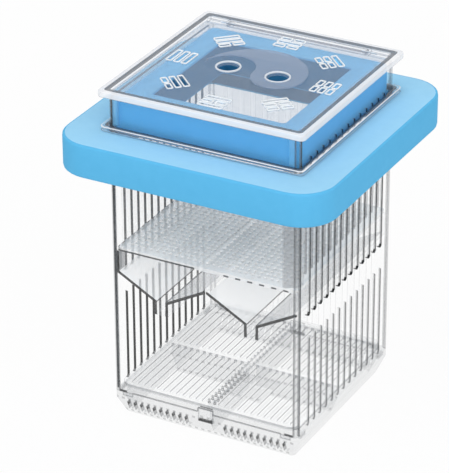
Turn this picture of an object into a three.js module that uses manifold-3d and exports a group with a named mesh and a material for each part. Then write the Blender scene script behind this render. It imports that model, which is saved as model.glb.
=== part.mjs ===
// A floating fish breeding box with a foam ring, an inner tray, two troughs and a hinged lid.
// Millimetres, +Z up, origin in the middle of the underside of the foot, front towards -Y.

import * as THREE from 'three';
import { mergeVertices } from 'three/addons/utils/BufferGeometryUtils.js';
import Module from 'manifold-3d';

const wasm = await Module();
wasm.setup();

// Driving dimensions: the box
const bodyWidth = 100;
const wallThickness = 1.4;
const cornerRadius = 2.3;
const wallHeight = 156.4;
const fitGap = 0.3;
const cutOverrun = 1;

// Driving dimensions: the tapered foot
const footHeight = 12.2;
const footFlankHeight = 3.7;
const footTaperInset = 3.5;
const footWall = 2.8;
const footInnerRadius = 2.5;
const footRibThickness = 2.4;
const footPadWidth = 20;
const footPadHeight = 2;
const footLipHeight = 2;
const footLipThickness = 1.5;
const ventPitch = 3.55;
const ventWidth = 1.8;
const ventHeight = 5;
const ventBottom = 2.2;
const ventSideMargin = 5;

// Driving dimensions: the slotted floor
const floorThickness = 2;
const floorSideClearance = 0.5;
const floorSlotPitch = 3.55;
const floorSlotWidth = 1.8;
const floorCentreRibWidth = 7;
const floorCrossRibWidth = 5;
const floorBorder = 4;
const floorCornerRadius = 5.5;

// Driving dimensions: the slotted walls
const slotPitch = 6.48;
const slotWidth = 2.8;
const slotChamfer = 0.8;
const slotSideMargin = 4;
const slotBottomMargin = 1.5;
const lowerSlotHeight = 48.5;
const tierBandHeight = 11.5;
const upperSlotTopMargin = 11.9;

// Driving dimensions: the tabs under the walls and the snap latches
const tabWidth = 5;
const tabThickness = 0.7;
const tabDepth = 2.2;
const tabInset = 0.65;
const tabSideMargin = 1.8;
const latchWidth = 7.6;
const latchThickness = 1;
const latchDepthBelowRim = 4.7;
const latchHookHeight = 1.9;
const latchRecess = 0.5;

// Driving dimensions: the foam float and its collar
const foamThickness = 16.8;
const floatBorder = 20.2;
const neckHeight = 16.2;
const floatCornerRadius = 18;
const floatEdgeRound = 1;
const collarWidth = 2.8;
const collarCornerRadius = 2.5;
const collarHeight = 2.5;

// Driving dimensions: the troughs
const sheetThickness = 1.5;
const troughSideClearance = 0.3;
const troughMiddleGap = 0.4;
const troughEndClearance = 0.5;
const troughTopAboveFoot = 76.2;
const troughWallHeight = 11.4;
const troughSlopeDrop = 11.1;
const troughLipDrop = 6.7;
const troughSlotWidth = 4.6;
const troughTieLength = 2.4;
const troughTieHeight = 2.6;
const railThickness = 1.4;
const railHeight = 4;
const railEndMargin = 10;
const restTabWidth = 5;
const restTabReach = 3.5;

// Driving dimensions: the tray
const trayWall = 1.4;
const traySideClearance = 0.6;
const trayCornerRadius = 7;
const plateThickness = 1.8;
const plateCornerRadius = 2;
const plateHoleRadius = 1.5;
const plateHolePitch = 8.4;
const plateHoleMargin = 3;
const traySlotBottomMargin = 4;
const traySlotTopMargin = 11.5;

// Driving dimensions: the foam ring in the neck, cut from the same sheet as the float
const neckFoamBorder = 13.6;
const neckFoamSideClearance = 0.5;
const neckFoamOuterRadius = 3;
const neckFoamInnerRadius = 1.5;

// Driving dimensions: the lid
const lidOverhang = 3.7;
const lidRimWidth = 4.5;
const lidRimHeight = 3;
const lidRimCornerRadius = 2.4;
const lidLedgeThickness = 1.7;
const lidLedgeWidth = 5.7;
const lidLedgeOverlap = 2;
const lidLedgeInnerRadius = 4;
const lidPlugDepth = 0.8;
const lidPlugThickness = 1.4;
const lidPlugClearance = 0.4;
const lidPlugCornerRadius = 6;
const panelThickness = 1.5;
const panelCornerRadius = 1.2;
const hingeBlockLength = 11.2;
const hingeBlockReach = 2;
const hingeBlockHeight = 3.2;
const hingeBarDepth = 4.6;
const hingeBarHeight = 2.4;
const hingeBarBackGap = 0.6;
const hingePinRadius = 0.5;
const hingePinLength = 8;
const hingePinBite = 3.7;

// Driving dimensions: the relief and the holes in the lid panel
const eyeHoleRadius = 5.2;
const eyeRimWidth = 1.3;
const eyeRimHeight = 0.7;
const reliefMargin = 6.6;
const reliefHeight = 0.4;
const trigramBorder = 1.1;
const trigramLineLength = 12;
const trigramLineWidth = 2.2;
const trigramLinePitch = 4.1;
const trigramBreak = 2;

// Numbers of steps in the rounds
const cornerSteps = 5;
const eyeSteps = 20;
const reliefSteps = 20;
const pinSteps = 10;
const plateHoleSteps = 6;

// The eight trigrams, counterclockwise from the left, each from its inner line to its outer one.
// True is an unbroken line.
const trigrams = [
  [true, true, true],
  [true, true, false],
  [true, false, true],
  [true, false, false],
  [false, false, false],
  [false, false, true],
  [false, true, false],
  [false, true, true],
];

// Half widths and levels worked out from the driving dimensions
const bodyHalf = bodyWidth / 2;
const innerHalf = bodyHalf - wallThickness;
const wallBottom = footHeight + fitGap;
const neckTop = wallBottom + wallHeight;
const wallHalf = bodyHalf - cornerRadius - fitGap;
const footTaperHeight = footHeight - footFlankHeight;
const footLipTop = footHeight + footLipHeight;
const floorBottom = footLipTop + fitGap;
const floorTop = floorBottom + floorThickness;
const floorHalf = innerHalf - floorSideClearance;
const lowerSlotBottom = wallBottom + slotBottomMargin;
const lowerSlotTop = lowerSlotBottom + lowerSlotHeight;
const upperSlotBottom = lowerSlotTop + tierBandHeight;
const upperSlotTop = neckTop - upperSlotTopMargin;
const ringHole = bodyHalf + fitGap;
const ringHoleRadius = cornerRadius + fitGap;
const floatHalf = ringHole + floatBorder;
const floatTop = neckTop - neckHeight;
const floatBottom = floatTop - foamThickness;
const collarBottom = floatTop + fitGap;
const troughOuter = innerHalf - troughSideClearance;
const troughInner = troughMiddleGap / 2;
const troughHalf = (troughOuter - troughInner) / 2;
const troughMiddle = (troughOuter + troughInner) / 2;
const troughTop = wallBottom + troughTopAboveFoot;
const troughShoulder = troughTop - troughWallHeight;
const troughSlotEdge = troughShoulder - troughSlopeDrop;
const troughLipBottom = troughSlotEdge - troughLipDrop;
const troughLipInner = troughSlotWidth / 2;
const troughLipOuter = troughLipInner + sheetThickness;
const troughSlope = troughSlopeDrop / (troughHalf - troughLipOuter);
const railOuter = innerHalf - fitGap;
const railInner = railOuter - railThickness;
const railTop = troughShoulder - troughSlope * (troughOuter - railInner) - fitGap;
const restTabTop = troughShoulder - troughSlope * (restTabWidth / 2 - troughInner) - fitGap;
const lidHalf = bodyHalf + lidOverhang;
const lidOpening = lidHalf - lidRimWidth;
const ledgeHalf = lidOpening + lidLedgeOverlap;
const ledgeBottom = neckTop + fitGap;
const ledgeTop = ledgeBottom + lidLedgeThickness;
const plugBottom = ledgeBottom - lidPlugDepth;
const lidPlugHalf = innerHalf - lidPlugClearance;
const neckFoamTop = plugBottom - fitGap;
const neckFoamBottom = neckFoamTop - foamThickness;
const neckFoamHalf = innerHalf - neckFoamSideClearance;
const trayHalf = innerHalf - traySideClearance;
const plateBottom = troughTop + fitGap;
const plateTop = plateBottom + plateThickness;
const trayBottom = plateTop + fitGap;
const trayTop = neckFoamBottom - fitGap;
const traySlotBottom = trayBottom + traySlotBottomMargin;
const traySlotTop = trayTop - traySlotTopMargin;
const rimBottom = ledgeTop - fitGap;
const rimTop = rimBottom + lidRimHeight;
const panelBottom = ledgeTop + fitGap;
const panelTop = panelBottom + panelThickness;
const panelHalf = lidOpening - fitGap;
const hingeBarFront = panelHalf - hingeBarDepth;
const hingeRadius = hingeBarHeight / 2;
const hingeAxisHeight = panelBottom + hingeRadius;
const hingeAxisDepth = panelHalf - hingeBarBackGap - hingeRadius;
const hingeBlockInner = lidOpening - hingeBlockLength;
const hingeBarHalf = hingeBlockInner - fitGap;
const pinNear = hingeBarHalf - hingePinBite;
const pinFar = pinNear + hingePinLength;
const boreRadius = hingePinRadius + fitGap;
const trigramReach = trigramLinePitch + trigramLineWidth / 2;
const trigramRadius = hingeBarFront - trigramBorder - trigramReach;
const reliefRadius = trigramRadius - trigramReach - reliefMargin;
const eyePlace = reliefRadius / 2;

// Materials
const clearPlastic = new THREE.MeshStandardMaterial({
  color: 0xeef4f6,
  roughness: 0.08,
  metalness: 0,
  transparent: true,
  opacity: 0.35,
});
const blueFoam = new THREE.MeshStandardMaterial({ color: 0x5bb0ea, roughness: 0.85, metalness: 0 });
const steel = new THREE.MeshStandardMaterial({ color: 0xc8ccd0, roughness: 0.25, metalness: 1 });

// Solids for cutting and joining, from closed geometries
function toSolid(geometry) {
  const bare = geometry.index ? geometry.toNonIndexed() : geometry.clone();
  bare.deleteAttribute('normal');
  bare.deleteAttribute('uv');
  const merged = mergeVertices(bare);
  const vertProperties = new Float32Array(merged.attributes.position.array);
  const triVerts = new Uint32Array(merged.index.array);
  return new wasm.Manifold(new wasm.Mesh({ numProp: 3, vertProperties, triVerts }));
}

function join(solids) {
  return solids.reduce((whole, next) => whole.add(next));
}

function toGeometry(solid) {
  const result = solid.getMesh();
  const geometry = new THREE.BufferGeometry();
  geometry.setAttribute('position', new THREE.BufferAttribute(new Float32Array(result.vertProperties), 3));
  geometry.setIndex(new THREE.BufferAttribute(new Uint32Array(result.triVerts), 1));
  geometry.computeVertexNormals();
  return geometry;
}

// A geometry turned by quarter turns about the middle of the box
function turned(geometry, turns) {
  return geometry.clone().rotateZ(turns * Math.PI / 2);
}

// Boxes between limits, one at a time or in pairs to the front and back of the middle
function boxGeometry(x0, x1, y0, y1, z0, z1) {
  const geometry = new THREE.BoxGeometry(x1 - x0, y1 - y0, z1 - z0);
  return geometry.translate((x0 + x1) / 2, (y0 + y1) / 2, (z0 + z1) / 2);
}

function block(x0, x1, y0, y1, z0, z1) {
  return toSolid(boxGeometry(x0, x1, y0, y1, z0, z1));
}

function blockPair(x0, x1, near, far, z0, z1) {
  return block(x0, x1, near, far, z0, z1).add(block(x0, x1, -far, -near, z0, z1));
}

// Square outlines with round corners, starting at the right of the front edge
function squarePoints(half, radius) {
  const points = [];
  for (let corner = 0; corner < 4; corner += 1) {
    const start = (corner - 1) * Math.PI / 2;
    const middle = start + Math.PI / 4;
    const centreX = Math.sign(Math.cos(middle)) * (half - radius);
    const centreY = Math.sign(Math.sin(middle)) * (half - radius);
    for (let step = 0; step <= cornerSteps; step += 1) {
      const angle = start + (step / cornerSteps) * Math.PI / 2;
      points.push(new THREE.Vector2(centreX + radius * Math.cos(angle), centreY + radius * Math.sin(angle)));
    }
  }
  return points;
}

function prism(points, z0, z1) {
  const options = { depth: z1 - z0, bevelEnabled: false };
  const geometry = new THREE.ExtrudeGeometry(new THREE.Shape(points), options);
  return toSolid(geometry.translate(0, 0, z0));
}

function squarePrism(half, radius, z0, z1) {
  return prism(squarePoints(half, radius), z0, z1);
}

function squareRing(half, radius, holeHalf, holeRadius, z0, z1) {
  const hole = squarePrism(holeHalf, holeRadius, z0 - cutOverrun, z1 + cutOverrun);
  return squarePrism(half, radius, z0, z1).subtract(hole);
}

// A solid through square outlines at several levels, from the lowest up
function loft(levels) {
  const rings = levels.map(({ half, radius, z }) => squarePoints(half, radius).map((p) => [p.x, p.y, z]));
  const count = rings[0].length;
  const last = (rings.length - 1) * count;
  const index = [];
  for (let base = 0; base < last; base += count) {
    for (let i = 0; i < count; i += 1) {
      const a = base + i;
      const b = base + (i + 1) % count;
      index.push(a, b, b + count, a, b + count, a + count);
    }
  }
  for (let i = 1; i < count - 1; i += 1) {
    index.push(0, i + 1, i, last, last + i, last + i + 1);
  }
  const geometry = new THREE.BufferGeometry();
  geometry.setAttribute('position', new THREE.Float32BufferAttribute(rings.flat(2), 3));
  geometry.setIndex(index);
  return toSolid(geometry);
}

// An outline drawn across and up, with holes, as a plate that stands between two distances to the back
function uprightGeometry(outline, holes, near, far) {
  const shape = new THREE.Shape(outline);
  shape.holes = holes.map((points) => new THREE.Path(points));
  const geometry = new THREE.ExtrudeGeometry(shape, { depth: far - near, bevelEnabled: false });
  return geometry.rotateX(Math.PI / 2).translate(0, far, 0);
}

function outlineOf(pairs) {
  return pairs.map(([x, y]) => new THREE.Vector2(x, y));
}

function slotOutline(centre, bottom, top) {
  const half = slotWidth / 2;
  const flat = half - slotChamfer;
  return outlineOf([
    [centre - flat, bottom],
    [centre + flat, bottom],
    [centre + half, bottom + slotChamfer],
    [centre + half, top - slotChamfer],
    [centre + flat, top],
    [centre - flat, top],
    [centre - half, top - slotChamfer],
    [centre - half, bottom + slotChamfer],
  ]);
}

// Evenly spaced places within a half width, one of them in the middle
function placesWithin(half, pitch) {
  const steps = Math.floor(half / pitch);
  return Array.from({ length: 2 * steps + 1 }, (_, i) => (i - steps) * pitch);
}

// Foot: a low tapered frame with crossed ribs, a pad in the middle, a locating lip and rows of vents
function footVents() {
  const near = bodyHalf - footTaperInset - footWall - cutOverrun;
  const far = bodyHalf + cutOverrun;
  const half = ventWidth / 2;
  const top = ventBottom + ventHeight;
  const places = placesWithin(bodyHalf - ventSideMargin, ventPitch).filter((x) => Math.abs(x) > latchWidth);
  return join(places.map((x) => blockPair(x - half, x + half, near, far, ventBottom, top)));
}

function latchPockets() {
  const half = latchWidth / 2 + fitGap;
  const near = bodyHalf - latchRecess - latchThickness - fitGap;
  const bottom = footHeight - latchDepthBelowRim - fitGap;
  const top = wallBottom + latchHookHeight + fitGap;
  return blockPair(-half, half, near, bodyHalf + cutOverrun, bottom, top);
}

// The two tabs under the back wall, larger all round by the margin
function tabGeometries(margin) {
  const x1 = wallHalf - tabSideMargin + margin;
  const x0 = x1 - tabWidth - margin - margin;
  const y1 = bodyHalf - tabInset + margin;
  const y0 = y1 - tabThickness - margin - margin;
  const z0 = wallBottom - tabDepth - margin;
  const z1 = wallBottom + fitGap;
  return [boxGeometry(x0, x1, y0, y1, z0, z1), boxGeometry(-x1, -x0, y0, y1, z0, z1)];
}

function makeBaseTray() {
  const outside = loft([
    { half: bodyHalf - footTaperInset, radius: cornerRadius, z: 0 },
    { half: bodyHalf, radius: cornerRadius, z: footTaperHeight },
    { half: bodyHalf, radius: cornerRadius, z: footHeight },
  ]);
  const overrunInset = footTaperInset * cutOverrun / footTaperHeight;
  const inside = loft([
    { half: bodyHalf - footTaperInset - footWall - overrunInset, radius: footInnerRadius, z: -cutOverrun },
    { half: bodyHalf - footWall, radius: footInnerRadius, z: footTaperHeight },
    { half: bodyHalf - footWall, radius: footInnerRadius, z: footHeight + cutOverrun },
  ]);
  const lipHalf = innerHalf - fitGap;
  const lipInner = lipHalf - footLipThickness;
  const lipBottom = footHeight - footWall;
  const lipRadius = floorCornerRadius - footLipThickness;
  const lip = squareRing(lipHalf, floorCornerRadius, lipInner, lipRadius, lipBottom, footLipTop);
  const rib = footRibThickness / 2;
  const reach = lipInner + footLipThickness / 2;
  const pad = footPadWidth / 2;
  const space = outside.add(squarePrism(lipHalf, floorCornerRadius, lipBottom, footLipTop));
  const ribs = join([
    block(-reach, reach, -rib, rib, 0, footLipTop),
    block(-rib, rib, -reach, reach, 0, footLipTop),
    block(-pad, pad, -pad, pad, 0, footPadHeight),
  ]).intersect(space);
  const pockets = [0, 1, 2, 3].flatMap((turns) => (
    tabGeometries(fitGap).map((geometry) => toSolid(turned(geometry, turns)))
  ));
  const cuts = join([footVents(), latchPockets(), ...pockets]);
  return join([outside.subtract(inside), lip, ribs]).subtract(cuts);
}

// Floor: a flat plate with slots along its depth, either side of a middle rib and a cross rib
function makeFloorGrid() {
  const field = floorHalf - floorBorder;
  const half = floorSlotWidth / 2;
  const near = floorCrossRibWidth / 2;
  const z0 = floorBottom - cutOverrun;
  const z1 = floorTop + cutOverrun;
  const cuts = [];
  for (let x = floorCentreRibWidth / 2 + half; x + half < field; x += floorSlotPitch) {
    cuts.push(blockPair(x - half, x + half, near, field, z0, z1));
    cuts.push(blockPair(-x - half, -x + half, near, field, z0, z1));
  }
  return squarePrism(floorHalf, floorCornerRadius, floorBottom, floorTop).subtract(join(cuts));
}

// Walls: flat plates between the corner posts, drawn at the back, three of them with two tiers of slots
function makeWall(holes) {
  const outline = outlineOf([
    [-wallHalf, wallBottom],
    [wallHalf, wallBottom],
    [wallHalf, neckTop],
    [-wallHalf, neckTop],
  ]);
  const plate = toSolid(uprightGeometry(outline, holes, innerHalf, bodyHalf));
  return join([plate, ...tabGeometries(0).map(toSolid)]);
}

function wallSlots() {
  return placesWithin(wallHalf - slotSideMargin - slotWidth / 2, slotPitch).flatMap((centre) => [
    slotOutline(centre, lowerSlotBottom, lowerSlotTop),
    slotOutline(centre, upperSlotBottom, upperSlotTop),
  ]);
}

// Corner posts: quarter rounds that join two walls, drawn at the back right
function makePost() {
  const centre = bodyHalf - cornerRadius;
  const shape = new THREE.Shape();
  shape.absarc(centre, centre, cornerRadius, 0, Math.PI / 2, false);
  shape.absarc(centre, centre, cornerRadius - wallThickness, Math.PI / 2, 0, true);
  const options = { depth: wallHeight, bevelEnabled: false, curveSegments: cornerSteps };
  return toSolid(new THREE.ExtrudeGeometry(shape, options).translate(0, 0, wallBottom));
}

// Supports for the troughs: a rail along the right wall and a tab in the middle of the back wall
function makeRail() {
  const half = innerHalf - railEndMargin;
  return block(railInner, railOuter, -half, half, railTop - railHeight, railTop);
}

function makeRestTab() {
  const half = restTabWidth / 2;
  return block(-half, half, railOuter - restTabReach, railOuter, restTabTop - railHeight, restTabTop);
}

// Latch: a tongue in the rim of the foot that hooks into the bottom of the back wall
function makeLatch() {
  const half = latchWidth / 2;
  const far = bodyHalf - latchRecess;
  const bottom = footHeight - latchDepthBelowRim;
  return block(-half, half, far - latchThickness, far, bottom, wallBottom + latchHookHeight);
}

// Collar and float: square rings round the outside of the walls
function makeCollar() {
  const outerHalf = ringHole + collarWidth;
  const top = collarBottom + collarHeight;
  return squareRing(outerHalf, collarCornerRadius, ringHole, ringHoleRadius, collarBottom, top);
}

function makeFloatRing() {
  const edge = floatEdgeRound;
  const flat = { half: floatHalf - edge, radius: floatCornerRadius - edge };
  const full = { half: floatHalf, radius: floatCornerRadius };
  const outside = loft([
    { ...flat, z: floatBottom },
    { ...full, z: floatBottom + edge },
    { ...full, z: floatTop - edge },
    { ...flat, z: floatTop },
  ]);
  const below = floatBottom - cutOverrun;
  const above = floatTop + cutOverrun;
  return outside.subtract(squarePrism(ringHole, ringHoleRadius, below, above));
}

// Trough: a bent sheet with upright sides and two slopes down to a lipped slot, tied at its ends
function makeTrough() {
  const flange = troughHalf - sheetThickness;
  const rise = sheetThickness * (Math.hypot(1, troughSlope) - troughSlope);
  const wing = [
    [troughLipInner, troughLipBottom],
    [troughLipOuter, troughLipBottom],
    [troughLipOuter, troughSlotEdge],
    [troughHalf, troughShoulder],
    [troughHalf, troughTop],
    [flange, troughTop],
    [flange, troughShoulder + rise],
    [troughLipInner, troughSlotEdge + rise],
  ];
  const mirrored = wing.map(([x, y]) => [-x, y]).reverse();
  const half = innerHalf - troughEndClearance;
  const wings = [wing, mirrored].map((pairs) => toSolid(uprightGeometry(outlineOf(pairs), [], -half, half)));
  const reach = troughLipInner + sheetThickness / 2;
  const tieTop = troughLipBottom + troughTieHeight;
  return join([...wings, blockPair(-reach, reach, half - troughTieLength, half, troughLipBottom, tieTop)]);
}

// Tray: a perforated floor plate and a sleeve of four walls, slotted at the sides and the back
function uprightRound(x, y, radius, steps, z0, z1) {
  const geometry = new THREE.CylinderGeometry(radius, radius, z1 - z0, steps);
  return toSolid(geometry.rotateX(Math.PI / 2).translate(x, y, (z0 + z1) / 2));
}

function makePerforatedPlate() {
  const places = placesWithin(trayHalf - plateHoleMargin - plateHoleRadius, plateHolePitch);
  const cuts = places.flatMap((x) => places.map((y) => (
    uprightRound(x, y, plateHoleRadius, plateHoleSteps, plateBottom - cutOverrun, plateTop + cutOverrun)
  )));
  return squarePrism(trayHalf, plateCornerRadius, plateBottom, plateTop).subtract(join(cuts));
}

function makeTraySleeve() {
  const inner = trayHalf - trayWall;
  const innerRadius = trayCornerRadius - trayWall;
  const sleeve = squareRing(trayHalf, trayCornerRadius, inner, innerRadius, trayBottom, trayTop);
  const places = placesWithin(trayHalf - trayCornerRadius - slotWidth / 2, slotPitch);
  const cuts = places.flatMap((centre) => {
    const outline = slotOutline(centre, traySlotBottom, traySlotTop);
    const slot = uprightGeometry(outline, [], inner - cutOverrun, trayHalf + cutOverrun);
    return [0, 1, 3].map((turns) => toSolid(turned(slot, turns)));
  });
  return sleeve.subtract(join(cuts));
}

// Neck foam: a frame that lies on the tray inside the neck
function makeNeckFoam() {
  const hole = neckFoamHalf - neckFoamBorder;
  const outer = neckFoamOuterRadius;
  return squareRing(neckFoamHalf, outer, hole, neckFoamInnerRadius, neckFoamBottom, neckFoamTop);
}

// Hinge rounds: lying cylinders on the hinge axis, one or a pair to the left and right
function hingeRound(radius, x0, x1) {
  const geometry = new THREE.CylinderGeometry(radius, radius, x1 - x0, pinSteps);
  return toSolid(geometry.rotateZ(Math.PI / 2).translate((x0 + x1) / 2, hingeAxisDepth, hingeAxisHeight));
}

function hingeRoundPair(radius, near, far) {
  return hingeRound(radius, near, far).add(hingeRound(radius, -far, -near));
}

// Lid frame: a rim, a ledge under the panel, a plug inside the neck and two hinge blocks at the back
function makeLidFrame() {
  const openingRadius = panelCornerRadius + fitGap;
  const rim = squareRing(lidHalf, lidRimCornerRadius, lidOpening, openingRadius, rimBottom, rimTop);
  const ledgeHole = ledgeHalf - lidLedgeWidth;
  const ledgeRadius = lidRimCornerRadius;
  const ledge = squareRing(ledgeHalf, ledgeRadius, ledgeHole, lidLedgeInnerRadius, ledgeBottom, ledgeTop);
  const plugHole = lidPlugHalf - lidPlugThickness;
  const plugHoleRadius = lidPlugCornerRadius - lidPlugThickness;
  const plug = squareRing(lidPlugHalf, lidPlugCornerRadius, plugHole, plugHoleRadius, plugBottom, rimBottom);
  const near = hingeAxisDepth - hingeBlockReach;
  const far = lidOpening + fitGap;
  const side = hingeBlockInner + hingeBlockLength + fitGap;
  const top = rimBottom + hingeBlockHeight;
  const blocks = [
    block(hingeBlockInner, side, near, far, rimBottom, top),
    block(-side, -hingeBlockInner, near, far, rimBottom, top),
  ];
  const bores = hingeRoundPair(boreRadius, hingeBlockInner - cutOverrun, pinFar + fitGap);
  return join([rim, ledge, plug, ...blocks]).subtract(bores);
}

// Lid panel: a plate with a rounded hinge bar at its back, a relief, two round holes and slots.
// The relief's points lie between the ends of its arcs, so no three of them are in line.
function reliefPoints() {
  const half = reliefRadius / 2;
  const arcs = [
    { centre: 0, radius: reliefRadius, from: 0, to: Math.PI },
    { centre: -half, radius: half, from: Math.PI, to: 0 },
    { centre: half, radius: half, from: Math.PI, to: 2 * Math.PI },
  ];
  return arcs.flatMap(({ centre, radius, from, to }) => (
    Array.from({ length: reliefSteps }, (_, step) => {
      const angle = from + (to - from) * (2 * step + 1) / (2 * reliefSteps);
      return new THREE.Vector2(centre + radius * Math.cos(angle), radius * Math.sin(angle));
    })
  ));
}

function trigramCuts(z0, z1) {
  const half = trigramLineLength / 2;
  const gap = trigramBreak / 2;
  return trigrams.flatMap((lines, place) => lines.flatMap((unbroken, line) => {
    const near = trigramRadius + (line - 1) * trigramLinePitch - trigramLineWidth / 2;
    const turn = Math.PI + place * 2 * Math.PI / trigrams.length;
    const pieces = unbroken ? [[-half, half]] : [[-half, -gap], [gap, half]];
    return pieces.map(([y0, y1]) => (
      toSolid(boxGeometry(near, near + trigramLineWidth, y0, y1, z0, z1).rotateZ(turn))
    ));
  }));
}

function makeLidPanel() {
  const below = panelBottom - cutOverrun;
  const above = rimTop + cutOverrun;
  const past = panelHalf + cutOverrun;
  const barTop = panelBottom + hingeBarHeight;
  const plate = squarePrism(panelHalf, panelCornerRadius, panelBottom, panelTop)
    .subtract(block(-past, past, hingeBarFront, past, below, above));
  const barBlock = block(
    -hingeBarHalf,
    hingeBarHalf,
    hingeBarFront - fitGap,
    hingeAxisDepth,
    panelBottom,
    barTop,
  );
  const barRound = hingeRound(hingeRadius, -hingeBarHalf, hingeBarHalf);
  const relief = prism(reliefPoints(), panelTop - fitGap, panelTop + reliefHeight);
  const rimRadius = eyeHoleRadius + eyeRimWidth;
  const eyes = [-eyePlace, eyePlace];
  const rims = eyes.map((x) => uprightRound(x, 0, rimRadius, eyeSteps, panelBottom, panelTop + eyeRimHeight));
  const holes = eyes.map((x) => uprightRound(x, 0, eyeHoleRadius, eyeSteps, below, above));
  const bores = hingeRoundPair(boreRadius, pinNear - fitGap, hingeBarHalf + cutOverrun);
  const cuts = join([...holes, ...trigramCuts(below, above), bores]);
  return join([plate, barBlock, barRound, relief, ...rims]).subtract(cuts);
}

// The pieces, each a named mesh, some of them turned by quarter turns from where they are drawn
const group = new THREE.Group();

function addPiece(name, geometry, material, turns) {
  const mesh = new THREE.Mesh(geometry, material);
  mesh.name = name;
  mesh.rotation.z = turns * Math.PI / 2;
  group.add(mesh);
  return mesh;
}

addPiece('base_tray', toGeometry(makeBaseTray()), clearPlastic, 0);
addPiece('floor_grid', toGeometry(makeFloorGrid()), clearPlastic, 0);

const slottedWall = makeWall(wallSlots());
const sideWall = toGeometry(slottedWall);
addPiece('front_window_panel', toGeometry(makeWall([]).subtract(latchPockets())), clearPlastic, 2);
addPiece('back_slotted_panel', toGeometry(slottedWall.subtract(latchPockets())), clearPlastic, 0);
addPiece('left_slotted_panel', sideWall, clearPlastic, 1);
addPiece('right_slotted_panel', sideWall, clearPlastic, 3);

const post = toGeometry(makePost());
addPiece('back_right_post', post, clearPlastic, 0);
addPiece('back_left_post', post, clearPlastic, 1);
addPiece('front_left_post', post, clearPlastic, 2);
addPiece('front_right_post', post, clearPlastic, 3);

const rail = toGeometry(makeRail());
const restTab = toGeometry(makeRestTab());
const latch = toGeometry(makeLatch());
addPiece('right_support_rail', rail, clearPlastic, 0);
addPiece('left_support_rail', rail, clearPlastic, 2);
addPiece('back_rest_tab', restTab, clearPlastic, 0);
addPiece('front_rest_tab', restTab, clearPlastic, 2);
addPiece('back_snap_latch', latch, clearPlastic, 0);
addPiece('front_snap_latch', latch, clearPlastic, 2);

addPiece('retaining_collar', toGeometry(makeCollar()), clearPlastic, 0);
addPiece('float_ring', toGeometry(makeFloatRing()), blueFoam, 0);

const trough = toGeometry(makeTrough());
addPiece('left_v_trough', trough, clearPlastic, 0).position.x = -troughMiddle;
addPiece('right_v_trough', trough, clearPlastic, 0).position.x = troughMiddle;
addPiece('perforated_plate', toGeometry(makePerforatedPlate()), clearPlastic, 0);
addPiece('tray_sleeve', toGeometry(makeTraySleeve()), clearPlastic, 0);
addPiece('neck_foam_ring', toGeometry(makeNeckFoam()), blueFoam, 0);

addPiece('lid_frame', toGeometry(makeLidFrame()), clearPlastic, 0);
addPiece('lid_panel', toGeometry(makeLidPanel()), clearPlastic, 0);
addPiece('left_hinge_pin', toGeometry(hingeRound(hingePinRadius, -pinFar, -pinNear)), steel, 0);
addPiece('right_hinge_pin', toGeometry(hingeRound(hingePinRadius, pinNear, pinFar)), steel, 0);

export default group;
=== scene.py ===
# %% [markdown]
# # A fish breeding box
# The box hangs in an aquarium from a blue foam ring. Almost all of it is clear moulded plastic, so what the
# eye reads is not the sheets but their edges: cut ends look dark, rounded rims catch the light, and stacked
# sheets turn a little whiter. The dark ends and the lit rims are painted into the colours of the edges, as
# painted shade and painted highlights. The CAD frame is loaded first, and the pieces take their places and
# main sizes from it. Sizes are in millimetres until they go into a mesh, a light or a camera.

# %% Load the frame
import math

import bmesh
import bpy
from mathutils import Matrix, Vector


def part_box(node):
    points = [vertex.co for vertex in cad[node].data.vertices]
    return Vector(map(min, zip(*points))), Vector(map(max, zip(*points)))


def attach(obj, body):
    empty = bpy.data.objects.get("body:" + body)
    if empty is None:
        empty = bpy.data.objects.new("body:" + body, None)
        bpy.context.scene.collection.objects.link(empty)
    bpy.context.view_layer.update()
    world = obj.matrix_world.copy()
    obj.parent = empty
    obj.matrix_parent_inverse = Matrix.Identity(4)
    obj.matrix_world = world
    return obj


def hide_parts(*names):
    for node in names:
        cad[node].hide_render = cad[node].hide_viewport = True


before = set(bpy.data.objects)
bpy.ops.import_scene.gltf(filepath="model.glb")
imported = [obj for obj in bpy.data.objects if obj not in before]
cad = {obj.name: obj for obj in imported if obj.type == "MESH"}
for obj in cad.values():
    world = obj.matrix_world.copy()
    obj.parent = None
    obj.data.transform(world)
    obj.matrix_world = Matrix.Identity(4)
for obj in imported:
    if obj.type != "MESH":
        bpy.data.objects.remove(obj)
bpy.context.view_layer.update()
MM = 0.001


def ends(name, axis):
    """Where a CAD node starts and stops along x, y or z, in mm."""
    low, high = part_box(name)
    place = "xyz".index(axis)
    return round(low[place] / MM, 3), round(high[place] / MM, 3)


# %% [markdown]
# ## Colours and nodes
# Shaders work in linear light, while the colours here are written as sRGB hex values, which are easy to
# compare with a picture. One function turns one into the other, and one small function adds any node with
# its settings, values and links, so that a material reads as a short list of nodes.

# %% Helpers for colours and nodes
def linear(colour):
    parts = [int(colour[i:i + 2], 16) / 255 for i in (0, 2, 4)]
    return tuple(p / 12.92 if p <= 0.04045 else ((p + 0.055) / 1.055) ** 2.4 for p in parts) + (1.0,)


def add(tree, kind, inputs=(), **settings):
    made = tree.nodes.new(kind)
    for key, value in settings.items():
        setattr(made, key, value)
    for key, value in dict(inputs).items():
        if isinstance(value, bpy.types.NodeSocket):
            tree.links.new(value, made.inputs[key])
        else:
            made.inputs[key].default_value = value
    return made


def empty_material(name):
    material = bpy.data.materials.new(name)
    material.use_nodes = True
    material.node_tree.nodes.clear()
    return material, material.node_tree


print("mid grey is", round(linear("808080")[0], 3), "in linear light")

# %% [markdown]
# ## Where painted light and shade lie
# Light runs inside a clear sheet and leaves at its edges, so narrow faces look darker, whiter or denser
# than the sheet. That light and shade is painted into the colour of those faces. Painting them by hand would
# tie the painted light and shade to one mesh. Here a measure says where a point lies, or which way its face
# looks, and a list of conditions on measures picks the faces. No condition depends on the camera, so the
# painted marks stay the same from every side.

# %% A place and a direction
RIGHT, FRONT, UP = (1.0, 0.0, 0.0), (0.0, -1.0, 0.0), (0.0, 0.0, 1.0)
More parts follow.
